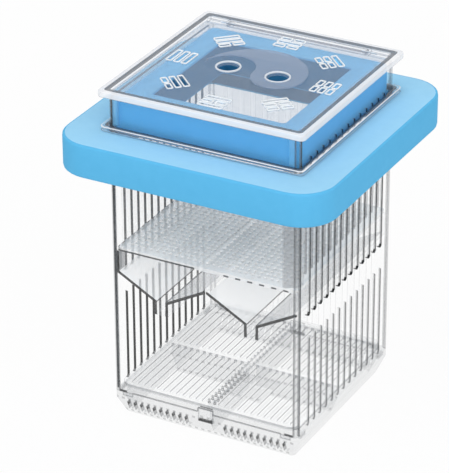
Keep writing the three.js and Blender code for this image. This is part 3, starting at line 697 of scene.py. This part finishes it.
# %% Collar
# The rims' strips: clear, painted grey shade, painted white highlight and painted dark shade.
CLEAR, GREY, WHITE, DARK = range(4)
rim_sheet = clear_plastic("polystyrene rim", "F1F4F8", 0.10, shine=0.3)
rim_highlight = clear_plastic("polystyrene rim, painted highlight on outer face", "F6F7FA", 0.80, shine=0.2)
rim_shade = clear_plastic("polystyrene rim, painted shade on inner strip", "3C4856", 0.80, shine=0.1)
rim_grey_shade = clear_plastic("polystyrene rim edge, painted shade", "8D93A0", 0.55, shine=0.1)
RIMS = [rim_sheet, rim_grey_shade, rim_highlight, rim_shade]

COLLAR_HALF = ends("retaining_collar", "x")[1]
COLLAR_LOW, COLLAR_HIGH = ends("retaining_collar", "z")
COLLAR_CORNER, SHADED_WALL_STRIP, COLLAR_EDGE = 2.5, 1.0, 0.4
collar_section = soften([
    (COLLAR_HALF, COLLAR_CORNER, COLLAR_LOW, CLEAR, GREY),
    (COLLAR_HALF, COLLAR_CORNER, COLLAR_HIGH, CLEAR, WHITE),
    (BODY_HOLE + SHADED_WALL_STRIP, BODY_HOLE_CORNER, COLLAR_HIGH, DARK, DARK),
    (BODY_HOLE, BODY_HOLE_CORNER, COLLAR_HIGH, DARK, DARK),
    (BODY_HOLE, BODY_HOLE_CORNER, COLLAR_LOW, CLEAR, CLEAR),
], COLLAR_EDGE)
collar_piece = sweep("collar", collar_section, RIMS, "box", ["retaining_collar"])
collar_piece.visible_shadow = True
print("collar:", len(collar_piece.data.polygons), "faces")

# %% [markdown]
# ## Lid frame
# The frame has a raised rim, a ledge that carries the panel and a plug that centres it in the neck. Light
# leaves it at its outer face and top, so those are painted white as a painted highlight, and the strip next
# to the panel is painted dark as painted shade. Its section is the collar's with more steps.

# %% Lid frame
LID_HALF = ends("lid_frame", "x")[1]
PLUG_LOW, BLOCK_HIGH = ends("lid_frame", "z")
LEDGE_LOW = PLUG_LOW + 0.8
LEDGE_HIGH = LEDGE_LOW + 1.7
RIM_LOW, RIM_HIGH = LEDGE_LOW + 1.4, LEDGE_LOW + 4.4
RIM_HOLE = LID_HALF - 4.5
DARK_STRIP = RIM_HOLE + 2.0
LEDGE_HOLE = DARK_STRIP - 5.7
PLUG_INSIDE, PLUG_OUTSIDE = WALL_INSIDE - 1.8, WALL_INSIDE - 0.4
RIM_CORNER, HOLE_CORNER, LEDGE_CORNER, FRAME_EDGE = 2.4, 1.5, 4.0, 0.3
STRIP_CORNER, PLUG_INSIDE_CORNER, PLUG_OUTSIDE_CORNER = 2.0, 4.6, 6.0
frame_section = soften([
    (LID_HALF, RIM_CORNER, RIM_LOW, WHITE, GREY), (LID_HALF, RIM_CORNER, RIM_HIGH, WHITE, WHITE),
    (DARK_STRIP, STRIP_CORNER, RIM_HIGH, DARK, DARK), (RIM_HOLE, HOLE_CORNER, RIM_HIGH, CLEAR, DARK),
    (RIM_HOLE, HOLE_CORNER, LEDGE_HIGH, CLEAR, CLEAR), (LEDGE_HOLE, LEDGE_CORNER, LEDGE_HIGH, CLEAR, CLEAR),
    (LEDGE_HOLE, LEDGE_CORNER, LEDGE_LOW, CLEAR, CLEAR),
    (PLUG_INSIDE, PLUG_INSIDE_CORNER, LEDGE_LOW, CLEAR, CLEAR),
    (PLUG_INSIDE, PLUG_INSIDE_CORNER, PLUG_LOW, CLEAR, CLEAR),
    (PLUG_OUTSIDE, PLUG_OUTSIDE_CORNER, PLUG_LOW, CLEAR, CLEAR),
    (PLUG_OUTSIDE, PLUG_OUTSIDE_CORNER, LEDGE_LOW, CLEAR, CLEAR),
    (DARK_STRIP, RIM_CORNER, LEDGE_LOW, CLEAR, CLEAR), (DARK_STRIP, RIM_CORNER, RIM_LOW, CLEAR, CLEAR),
], FRAME_EDGE)
frame_piece = sweep("lid_rim", frame_section, RIMS, "lid", ["lid_frame"])
print("lid frame:", len(frame_piece.data.polygons), "faces")

# %% [markdown]
# ## Hinge blocks
# At the back of the frame two blocks hold the pins. They are plain boxes with a small bevel, and the bevel
# is painted greyer than the block, as painted shade. The function that makes them will make the panel's
# hinge bar too.

# %% Hinge blocks
def softened_blocks(name, boxes, edge, materials, body):
    """Boxes with bevelled edges, the bevels in the second material, whose grey is painted shade."""
    bm = bmesh.new()
    for low, high in boxes:
        low, high = Vector(low), Vector(high)
        placed = Matrix.LocRotScale((low + high) / 2 * MM, None, (high - low) * MM)
        bmesh.ops.create_cube(bm, matrix=placed)
    made = bmesh.ops.bevel(bm, geom=bm.edges[:], offset=edge * MM, segments=2, profile=0.5,
                           affect="EDGES")
    for face in made["faces"]:
        face.material_index = 1
    return keep(name, filled_mesh(name, bm, materials), body)


BLOCK_NEAR, BLOCK_FAR = 38.0, RIM_HOLE - 0.1
BLOCK_FRONT, BLOCK_BACK, BLOCK_LOW, BLOCK_EDGE = 45.1, 49.3, BLOCK_HIGH - 2.8, 0.3
hinge_blocks = softened_blocks("hinge_blocks", [
    ((BLOCK_NEAR, BLOCK_FRONT, BLOCK_LOW), (BLOCK_FAR, BLOCK_BACK, BLOCK_HIGH)),
    ((-BLOCK_FAR, BLOCK_FRONT, BLOCK_LOW), (-BLOCK_NEAR, BLOCK_BACK, BLOCK_HIGH)),
], BLOCK_EDGE, [rim_sheet, rim_grey_shade], "lid")
print("hinge blocks:", len(hinge_blocks.data.polygons), "faces")

# %% [markdown]
# ## Outlines on the lid's panel
# The panel has two round holes, the eyes, and round them eight groups of three bars, in which a whole bar
# or a broken one stands on each line. Placing each slot by hand would be slow and uneven. All outlines are
# worked out from a few sizes, and each group is the first one turned by an eighth.

# %% Outlines of the eyes and bars
EYE, EYE_PLACE, EYE_STEPS, BAR_CORNER_STEPS = 5.2, 13.1, 32, 3
TRIGRAMS = [(1, 1, 1), (1, 1, 0), (1, 0, 1), (1, 0, 0), (0, 0, 0), (0, 0, 1), (0, 1, 0), (0, 1, 1)]
TRIGRAM_PLACE, BAR_PITCH, BAR_HALF_WIDTH = 38.0, 4.1, 1.1
WHOLE_BAR, BROKEN_BAR = [(-6, 6)], [(-6, -1), (1, 6)]


def arc(x, y, radius, start, end, steps):
    angles = [start + (end - start) * (i + 0.5) / steps for i in range(steps)]
    return [(x + radius * math.cos(angle), y + radius * math.sin(angle)) for angle in angles]


def rounded_bar(x0, x1, y0, y1, corner):
    """A rectangle with round corners, counterclockwise."""
    centres = [(x1 - corner, y0 + corner), (x1 - corner, y1 - corner),
               (x0 + corner, y1 - corner), (x0 + corner, y0 + corner)]
    points = []
    for quarter, (x, y) in enumerate(centres):
        start = (quarter - 1) * math.pi / 2
        points += arc(x, y, corner, start, start + math.pi / 2, BAR_CORNER_STEPS)
    return points


def bar_outlines(grow=0.0, corner=0.5):
    """The slots of all eight groups, each made larger all round by the amount to grow."""
    found = []
    half = BAR_HALF_WIDTH + grow
    for place, lines in enumerate(TRIGRAMS):
        turn = math.pi + place * math.pi / 4
        cosine, sine = math.cos(turn), math.sin(turn)
        for line, whole in enumerate(lines):
            middle = TRIGRAM_PLACE + (line - 1) * BAR_PITCH
            for start, end in (WHOLE_BAR if whole else BROKEN_BAR):
                points = rounded_bar(middle - half, middle + half, start - grow, end + grow, corner)
                found.append([(x * cosine - y * sine, x * sine + y * cosine) for x, y in points])
    return found


def eye_circles(radius, steps, places=(-EYE_PLACE, EYE_PLACE)):
    return [arc(x, 0, radius, 0, 2 * math.pi, steps) for x in places]


print("outlines:", len(bar_outlines()), "bars and", len(eye_circles(EYE, EYE_STEPS)), "eyes")

# %% [markdown]
# ## From an outline to a plate or a rim
# A filled flat curve with holes and a bevel gives a plate and its rounded edges in one go, which no
# primitive does. The same outline as an unfilled curve with a round bevel gives a tube, and a tube partly
# sunk in the panel is the raised rim of a moulded hole.

# %% Plates and rims from flat curves
SAME_OUTLINE_POINT = 0.002 * MM


def from_curve(name, loops, height, **settings):
    """A mesh from closed outlines in mm, with its doubles merged, at a height."""
    curve = bpy.data.curves.new(name, "CURVE")
    for key, value in settings.items():
        setattr(curve, key, value)
    for loop in loops:
        spline = curve.splines.new("POLY")
        spline.points.add(len(loop) - 1)
        for point, (x, y) in zip(spline.points, loop):
            point.co = (x * MM, y * MM, 0, 1)
        spline.use_cyclic_u = True
    carrier = bpy.data.objects.new(name, curve)
    bpy.context.scene.collection.objects.link(carrier)
    bpy.context.view_layer.update()
    mesh = bpy.data.meshes.new_from_object(carrier.evaluated_get(bpy.context.evaluated_depsgraph_get()))
    bpy.data.objects.remove(carrier)
    bm = bmesh.new()
    bm.from_mesh(mesh)
    bmesh.ops.remove_doubles(bm, verts=bm.verts, dist=SAME_OUTLINE_POINT)
    bmesh.ops.recalc_face_normals(bm, faces=bm.faces)
    bmesh.ops.translate(bm, verts=bm.verts, vec=(0, 0, height * MM))
    bm.to_mesh(mesh)
    bm.free()
    mesh.materials.clear()
    return mesh


def plate(name, outer, inner, low, high, edge, resolution=1):
    """A plate with a rounded edge; the holes run the other way round from the outline."""
    loops = [outer] + [hole[::-1] for hole in inner]
    return from_curve(name, loops, (low + high) / 2, dimensions="2D", fill_mode="BOTH", offset=-edge * MM,
                      extrude=((high - low) / 2 - edge) * MM, bevel_depth=edge * MM,
                      bevel_resolution=resolution)


def rims(name, loops, height, thick):
    return from_curve(name, loops, height, dimensions="3D", fill_mode="FULL", bevel_depth=thick * MM,
                      bevel_resolution=2)


print("plates and rims come from", len(bar_outlines()) + 2, "outlines on the lid")

# %% [markdown]
# ## The panel
# The panel is a thin frosted plate that swings up on its pins. Three of its sides come close to the frame,
# and the back one stops at the bar that the pins go into. Frosting spreads the light, so the panel is
# rougher than the rims and veils the blue foam under it.

# %% Panel
PANEL_HALF = ends("lid_panel", "x")[1]
PANEL_LOW, HINGE_BAR_HIGH = ends("lid_panel", "z")
PANEL_HIGH = PANEL_LOW + 1.5
PANEL_BACK, PANEL_CORNER, PANEL_CORNER_STEPS, PANEL_EDGE = 44.3, 1.2, 4, 0.2
lid_sheet = clear_plastic("frosted polystyrene panel", "9CB2CA", 0.24, shine=0.1, rough=0.25)

bend = PANEL_HALF - PANEL_CORNER
panel_outline = arc(bend, -bend, PANEL_CORNER, -math.pi / 2, 0, PANEL_CORNER_STEPS)
panel_outline += [(PANEL_HALF, PANEL_BACK), (-PANEL_HALF, PANEL_BACK)]
panel_outline += arc(-bend, -bend, PANEL_CORNER, -math.pi, -math.pi / 2, PANEL_CORNER_STEPS)
panel_holes = eye_circles(EYE, EYE_STEPS) + bar_outlines()
panel_mesh = plate("lid_plate", panel_outline, panel_holes, PANEL_LOW, PANEL_HIGH, PANEL_EDGE)
panel_mesh.materials.append(lid_sheet)
panel_piece = keep("lid_plate", panel_mesh, "lid_flap", ["lid_panel"])
print("panel:", panel_piece.name, len(panel_mesh.polygons), "faces")

# %% [markdown]
# ## The raised relief and the rims
# In the middle of the panel is a smooth raised relief, a curled drop that takes in the right eye and bends
# round the left one. It is polished and softer at its edge, so it is a second plate with a wider bevel,
# sunk a little into the panel. Every hole has a small raised rim, a tube along the hole's outline, painted
# white as a painted highlight where it catches the light. The bars' rims look whiter than the eyes', so they
# have a painted highlight of their own. The hinge bar closes the panel at the back.

# %% Relief, raised rims and hinge bar
RELIEF, RELIEF_EDGE, RELIEF_SUNK, RELIEF_RAISED = 26.2, 0.35, 0.3, 0.5
EYE_GAP, EYE_RIM, EYE_RIM_THICK, EYE_RIM_RAISED = EYE + 1.2, EYE + 0.65, 0.52, 0.2
BAR_RIM_GROW, BAR_RIM_CORNER, BAR_RIM_THICK, BAR_RIM_RAISED = 0.25, 0.6, 0.4, 0.1
SMOOTH_UP_TO, DROP_STEPS, CURL_STEPS, RIM_STEPS, EDGE_STEPS = 80, 40, 24, 40, 4
HINGE_BAR_HALF, HINGE_BAR_FRONT, HINGE_BAR_BACK, HINGE_BAR_EDGE = 37.7, 44.2, 48.2, 0.8
relief_sheet = clear_plastic("polished polystyrene relief", "8FA3BE", 0.42, shine=0.4, rough=0.12)
eye_rim_highlight = clear_plastic("polystyrene raised rim with painted highlight", "EEF2F6", 0.65, shine=0.15, rough=0.15)
bar_rim_highlight = clear_plastic("polystyrene raised rim round the bars", "F7F9FA", 0.8, shine=0.15, rough=0.15)

half = RELIEF / 2
teardrop = arc(0, 0, RELIEF, 0, math.pi, DROP_STEPS)
teardrop += arc(-half, 0, half, math.pi, 0, CURL_STEPS)
teardrop += arc(half, 0, half, math.pi, 2 * math.pi, CURL_STEPS)
eye_gap = eye_circles(EYE_GAP, EYE_STEPS, [EYE_PLACE])
relief_mesh = plate("lid_relief", teardrop, eye_gap, PANEL_HIGH - RELIEF_SUNK, PANEL_HIGH + RELIEF_RAISED,
                    RELIEF_EDGE, EDGE_STEPS)
eye_rims = rims("eye_rims", eye_circles(EYE_RIM, RIM_STEPS), PANEL_HIGH + EYE_RIM_RAISED, EYE_RIM_THICK)
bar_loops = bar_outlines(BAR_RIM_GROW, BAR_RIM_CORNER)
bar_rims = rims("bar_rims", bar_loops, PANEL_HIGH + BAR_RIM_RAISED, BAR_RIM_THICK)
raised = [("lid_relief", relief_mesh, relief_sheet), ("eye_rims", eye_rims, eye_rim_highlight),
          ("bar_rims", bar_rims, bar_rim_highlight)]
for name, mesh, material in raised:
    mesh.materials.append(material)
    keep(name, mesh, "lid_flap", sharp=SMOOTH_UP_TO)
hinge_bar = softened_blocks("hinge_bar", [
    ((-HINGE_BAR_HALF, HINGE_BAR_FRONT, PANEL_LOW), (HINGE_BAR_HALF, HINGE_BAR_BACK, HINGE_BAR_HIGH)),
], HINGE_BAR_EDGE, [rim_sheet, rim_grey_shade], "lid_flap")
print("relief:", len(relief_mesh.polygons), "rims:", len(eye_rims.polygons), len(bar_rims.polygons), "faces")
print("hinge bar:", hinge_bar.name)

# %% [markdown]
# ## The troughs
# From here on the pieces keep their CAD meshes, because the CAD shape is right, and only get a material,
# most of them with painted light and shade. A trough is a bent sheet with a slot at its lowest line. The cut
# ends that face the front are painted as the dark zigzag that the eye sees first. The slopes that turn to
# the right-hand light are painted white as painted light, and the others grey as painted shade; the slot's
# edges and the outer side near the front are painted shade too.

# %% Trough: painted light and shade
def finish(material, *names):
    for name in names:
        data = cad[name].data
        data.materials.clear()
        data.materials.append(material)
        cad[name].visible_shadow = False


TROUGH_TOP = ends("left_v_trough", "z")[1]
TROUGH_LEFT, TROUGH_RIGHT = ends("left_v_trough", "x")
TROUGH_FRONT = ends("left_v_trough", "y")[0]
SLOPE_HIGH = TROUGH_TOP - 11.4
SLOT_HIGH = SLOPE_HIGH - 11.1
END_ABOVE, END_ASIDE, SLOT_STRIP, SIDE_STRIP, SIDE_LENGTH = 1.2, 3.3, 1.1, 2.3, 5.1
# The ties that join the two lips of a slot lie within this distance of its middle line.
SLOT_MIDDLE, TIE_REACH = -(TROUGH_LEFT + TROUGH_RIGHT) / 2, 2.2
UP_TO_LEFT, UP_TO_RIGHT = (-0.5, 0.0, 0.87), (0.5, 0.0, 0.87)

# Painted light on the right slopes, painted shade on the other slopes, sides, slot edges and cut ends.
off_ties = (distance(distance(X), SLOT_MIDDLE), ">", TIE_REACH)
cut_ends = [(faces(FRONT), ">", ROUGHLY), (Y, "<", 0.0), off_ties]
slope_end_shade = cut_ends + [(Z, "<", SLOPE_HIGH + END_ABOVE)]
left_end_shade = cut_ends + [(X, "<", TROUGH_LEFT + END_ASIDE)]
left_slope_shade = [(faces(UP_TO_LEFT), ">", EXACTLY)]
right_slope_light = [(faces(UP_TO_RIGHT), ">", EXACTLY)]
slot_edge_shade = [(distance(faces(RIGHT)), ">", SQUARELY), (Z, ">", SLOT_HIGH), (Z, "<", SLOT_HIGH + SLOT_STRIP)]
outer_side_shade = [(distance(faces(RIGHT)), ">", SQUARELY), (X, "<", TROUGH_LEFT + SIDE_STRIP),
              (Y, "<", TROUGH_FRONT + SIDE_LENGTH), (Z, ">", SLOPE_HIGH)]
trough_sheet = clear_plastic("polystyrene trough with painted light and shade", "F2F3F5", 0.05, shine=0.5, layers=[
    (right_slope_light, "FEFEFE", 0.55), (left_slope_shade, "B4B7BA", 0.5), (outer_side_shade, "8A8D90", 0.7),
    (slot_edge_shade, "26282B", 0.8), (slope_end_shade, "141517", 0.96), (left_end_shade, "141517", 0.96)])
finish(trough_sheet, "left_v_trough", "right_v_trough")
print("troughs: slopes from", SLOT_HIGH, "to", SLOPE_HIGH, "mm high")

# %% [markdown]
# ## The window and the posts
# The window is the one plain wall. Its edges are painted grey, a short dark bar is painted on its front just
# above its bottom edge at each end, both as painted shade, and above the collar its corners are painted with
# the blue of the foam beside them, as a painted reflection. The posts are the round corners of the box,
# which bend the light most at a flat angle, so their grey is painted shade.

# %% Window and post: painted shade and reflection
NECK_STRIP, BAR_REACH, BAR_LOW, BAR_HIGH = 44.8, WALL_HALF - 4.4, WALL_LOW - 0.1, WALL_LOW + 1.3
# The blue of the neck corners is a painted reflection; the grey edges, dark bars and post sides are painted
# shade.
neck_corner_reflection = [(distance(X), ">", NECK_STRIP), (Y, "<", 0.0), (Z, ">", COLLAR_HIGH + 0.1)]
narrow_edge_shade = [(distance(faces(FRONT)), "<", ROUGHLY)]
end_bar_shade = [(faces(FRONT), ">", SQUARELY), (Z, ">", BAR_LOW), (Z, "<", BAR_HIGH),
            (distance(X), ">", BAR_REACH)]
post_side_shade = [(distance(faces(FRONT)), ">", EXACTLY)]
window_sheet = clear_plastic("polystyrene window with painted reflection and shade", "FAFBFC", 0.015, shine=0.12, layers=[
    (neck_corner_reflection, "7CBFE8", 0.5), (narrow_edge_shade, "5A5E62", 0.6), (end_bar_shade, "2E3033", 0.9)])
post_sheet = clear_plastic("polystyrene post with painted shade", "6E7377", 0.04, shine=0.9, layers=[
    (post_side_shade, "6A6E72", 0.35)])
finish(window_sheet, "front_window_panel")
finish(post_sheet, "front_left_post", "front_right_post", "back_left_post", "back_right_post")
print("window bars beyond", BAR_REACH, "mm from the middle")

# %% [markdown]
# ## The foot and the latches
# The foot is a tapered tray with a row of vents along its front. The left side of each vent is painted dark,
# most of all at its upper end, and two rows of faint marks above and below the vents are painted shade where
# the ribs show through. A latch is a thin tongue whose edges are painted grey and whose hooked lower end is
# painted dark, as painted shade.

# %% Foot and latch: painted shade
VENT_PITCH, VENT_HIGH, VENT_DARK, VENT_REACH, VENT_FRONT = 3.55, 7.3, 4.8, 44.0, -44.5
LOW_MARKS, HIGH_MARKS, MARK_HALF_HEIGHT, MARK_WAVE, MARK_FACING = 1.6, 9.2, 0.6, 0.1, 0.8
LATCH_DARK = ends("front_snap_latch", "z")[0] + 1.2
# The vents' dark left sides and the faint marks are painted shade.
vents = [(faces(RIGHT), ">", ROUGHLY), (Y, "<", VENT_FRONT), (distance(X), "<", VENT_REACH),
         (Z, "<", VENT_HIGH)]
vent_top_shade = vents + [(Z, ">", VENT_DARK)]
marks = [(wave(X, VENT_PITCH), ">", MARK_WAVE), (faces(FRONT), ">", MARK_FACING)]
low_mark_shade = marks + [(distance(Z, LOW_MARKS), "<", MARK_HALF_HEIGHT)]
high_mark_shade = marks + [(distance(Z, HIGH_MARKS), "<", MARK_HALF_HEIGHT)]
latch_foot_shade = [(distance(faces(FRONT)), ">", SQUARELY), (Z, "<", LATCH_DARK)]
foot_sheet = clear_plastic("polystyrene foot with painted shade", "B4B7BA", 0.13, shine=0.3, layers=[
    (low_mark_shade, "7A7D80", 0.45), (high_mark_shade, "7A7D80", 0.45), (vents, "6A6D70", 0.6),
    (vent_top_shade, "0E0F10", 1.0)])
latch_sheet = clear_plastic("polystyrene latch with painted shade", "E6E9EC", 0.08, layers=[
    (narrow_edge_shade, "8A8D90", 0.5), (latch_foot_shade, "1E2022", 0.9)])
finish(foot_sheet, "base_tray")
finish(latch_sheet, "front_snap_latch", "back_snap_latch")
print("latches dark below", LATCH_DARK, "mm")

# %% [markdown]
# ## The rails and the tray's walls
# The rails and tabs that carry the troughs are small and almost lost in the clear box. The tray's walls are
# clearer still. Only the edges of the slots in its right wall show, painted as grey strips of shade, and its
# round corner at the front right bends the light behind it into a grey band, painted as shade.

# %% Rail finish and painted tray shade
TRAY_HALF = ends("tray_sleeve", "x")[1]
STRIPS_FROM, CORNER_FROM = TRAY_HALF - 1.9, TRAY_HALF - 7.5
# The grey strips and the grey corner band are painted shade.
tray_edge_shade = [(faces(FRONT), ">", ROUGHLY), (X, ">", STRIPS_FROM)]
tray_corner_shade = [(X, ">", CORNER_FROM), (Y, "<", -CORNER_FROM)]
rail_sheet = clear_plastic("polystyrene rail", "E6E9EC", 0.05)
tray_sheet = clear_plastic("polystyrene tray wall with painted shade", "F4F6F8", 0.02, shine=0.3, layers=[
    (tray_edge_shade, "55585C", 0.45), (tray_corner_shade, "9A9DA0", 0.3)])
finish(rail_sheet, "left_support_rail", "right_support_rail", "front_rest_tab", "back_rest_tab")
finish(tray_sheet, "tray_sleeve")
print("tray: grey strips beyond", STRIPS_FROM, "mm")

# %% [markdown]
# ## Steel pins
# The panel turns on two drawn steel pins, 1 mm thick. Drawing leaves fine lines along the wire, so a noise
# stretched along X varies the roughness. Unlike the plastic, steel casts a shadow.

# %% Steel
# Repeats per mm: the lines are 17 mm long and 0.25 mm wide.
LINES_ALONG, LINES_ACROSS = 0.06, 4.0


def drawn_steel():
    material, tree = empty_material("drawn steel")
    where = add(tree, "ShaderNodeTexCoord").outputs["Object"]
    stretch = (LINES_ALONG / MM, LINES_ACROSS / MM, LINES_ACROSS / MM)
    stretched = add(tree, "ShaderNodeMapping", {"Vector": where, "Scale": stretch})
    lines = add(tree, "ShaderNodeTexNoise", {"Vector": stretched.outputs[0], "Scale": 1.0, "Detail": 3.0})
    rough = add(tree, "ShaderNodeMapRange", {"Value": lines.outputs["Fac"], "To Min": 0.2, "To Max": 0.42})
    skin = add(tree, "ShaderNodeBsdfPrincipled", {
        "Base Color": linear("C4C8CC"), "Metallic": 1.0, "Roughness": rough.outputs["Result"]})
    add(tree, "ShaderNodeOutputMaterial", {"Surface": skin.outputs["BSDF"]})
    return material


finish(drawn_steel(), "left_hinge_pin", "right_hinge_pin")
for name in ("left_hinge_pin", "right_hinge_pin"):
    cad[name].visible_shadow = True
print("pins at", ends("left_hinge_pin", "x"), "and", ends("right_hinge_pin", "x"), "mm")
print("CAD nodes shown:", sum(not node.hide_render for node in cad.values()))

# %% [markdown]
# ## Paper floor and white world
# A plain white sweep, as in a product photograph. More light would bleach the box along with the
# background. Instead Light Path shows the floor and the sky as white to the camera and in reflections,
# while the floor keeps a little of its own shading, so the box still has a soft shadow.

# %% Paper floor
FLOOR_REACH, FLOOR_WHITE = 6000.0, 0.94


def white_behind(tree, lit, strength):
    """Shows white to camera, glossy and transmission rays, and the lit shader to all others."""
    path = add(tree, "ShaderNodeLightPath").outputs
    chosen = path["Is Camera Ray"]
    for ray in ("Is Glossy Ray", "Is Transmission Ray"):
        chosen = add(tree, "ShaderNodeMath", {0: chosen, 1: path[ray]}, operation="MAXIMUM").outputs[0]
    amount = add(tree, "ShaderNodeMath", {0: chosen, 1: strength}, operation="MULTIPLY").outputs[0]
    white = "ShaderNodeBackground" if lit.bl_idname == "ShaderNodeBackground" else "ShaderNodeEmission"
    shown = add(tree, white, {"Color": linear("FFFFFF"), "Strength": 1.0})
    return add(tree, "ShaderNodeMixShader", {0: amount, 1: lit.outputs[0], 2: shown.outputs[0]})


backdrop, tree = empty_material("white paper")
lit = add(tree, "ShaderNodeBsdfDiffuse", {"Color": linear("F2F2F2")})
add(tree, "ShaderNodeOutputMaterial", {"Surface": white_behind(tree, lit, FLOOR_WHITE).outputs[0]})
paper = bpy.data.meshes.new("paper_floor")
reach = FLOOR_REACH * MM
corners = [(-reach, -reach, 0), (reach, -reach, 0), (reach, reach, 0), (-reach, reach, 0)]
paper.from_pydata(corners, [], [(0, 1, 2, 3)])
paper.materials.append(backdrop)
floor = bpy.data.objects.new("paper_floor", paper)
bpy.context.scene.collection.objects.link(floor)
print("paper floor", 2 * reach, "m wide")

# %% [markdown]
# The sky lights the box evenly from all sides, at less than half its white, and Light Path hides that from
# the camera. It takes the whole of the white, as nothing casts a shadow on it.

# %% World
SKY_LIGHT = 0.45
world = bpy.data.worlds.new("white studio")
world.use_nodes = True
world.node_tree.nodes.clear()
sky = add(world.node_tree, "ShaderNodeBackground", {"Color": linear("FFFFFF"), "Strength": SKY_LIGHT})
shown = white_behind(world.node_tree, sky, 1.0)
add(world.node_tree, "ShaderNodeOutputWorld", {"Surface": shown.outputs[0]})
bpy.context.scene.world = world
print("sky at", SKY_LIGHT)

# %% [markdown]
# ## Light
# The photograph is lit softly, most on the top, then on the front, then on the right side. Two wide suns
# and the white sky give that. A sun's light doesn't fall off, so it needs only a direction, and its wide
# disc keeps the shadows soft.

# %% Two suns
def direction(azimuth, elevation):
    """From the box to a lamp or the camera, in degrees round from the front and up."""
    around, up = math.radians(azimuth), math.radians(elevation)
    return Vector((math.sin(around) * math.cos(up), -math.cos(around) * math.cos(up), math.sin(up)))


def aimed(name, data, back):
    """An object that looks against the given direction, at the box."""
    placed = bpy.data.objects.new(name, data)
    placed.rotation_euler = (-back).to_track_quat("-Z", "Y").to_euler()
    bpy.context.scene.collection.objects.link(placed)
    return placed


# Each sun has its degrees round from the front and up, its strength, and the width of its disc in degrees.
SUNS = [("front_sun", -20, 52, 1.05, 35), ("right_sun", 60, 40, 1.15, 50)]
for name, azimuth, elevation, strength, width in SUNS:
    lamp = bpy.data.lights.new(name, "SUN")
    lamp.energy = strength
    lamp.angle = math.radians(width)
    aimed(name, lamp, direction(azimuth, elevation))
    print(name, strength, "from", azimuth, "degrees round and", elevation, "up")

# %% [markdown]
# ## Camera
# The camera was fitted to the edges of the box in the photograph, which gives its direction, its distance
# and a focal length in pixels. The photograph was cropped off centre, so the lens has a small shift. A
# plain Standard view keeps the colours as they are written.

# %% Camera and view
PHOTO_WIDTH, PHOTO_HEIGHT = 449, 473
FOCAL_LENGTH, CENTRE_ACROSS, CENTRE_DOWN = 2862.3, 252.87, 247.16
CAMERA_AZIMUTH, CAMERA_ELEVATION, CAMERA_DISTANCE, TARGET_HEIGHT = 27.662, 27.645, 1386.6, 80.0
# Many sheets lie behind one another, so see-through rays may pass more of them than the usual eight.
SHEETS_PASSED = 64
lens = bpy.data.cameras.new("camera")
lens.lens = FOCAL_LENGTH / PHOTO_HEIGHT * lens.sensor_width
lens.shift_x = (PHOTO_WIDTH / 2 - CENTRE_ACROSS) / PHOTO_HEIGHT
lens.shift_y = (CENTRE_DOWN - PHOTO_HEIGHT / 2) / PHOTO_HEIGHT
back = direction(CAMERA_AZIMUTH, CAMERA_ELEVATION)
camera = aimed("camera", lens, back)
camera.location = Vector((0, 0, TARGET_HEIGHT * MM)) + back * CAMERA_DISTANCE * MM
bpy.context.scene.camera = camera
bpy.context.scene.view_settings.view_transform = "Standard"
bpy.context.scene.cycles.transparent_max_bounces = SHEETS_PASSED
print("lens", round(lens.lens, 1), "mm, shift", round(lens.shift_x, 4), round(lens.shift_y, 4))
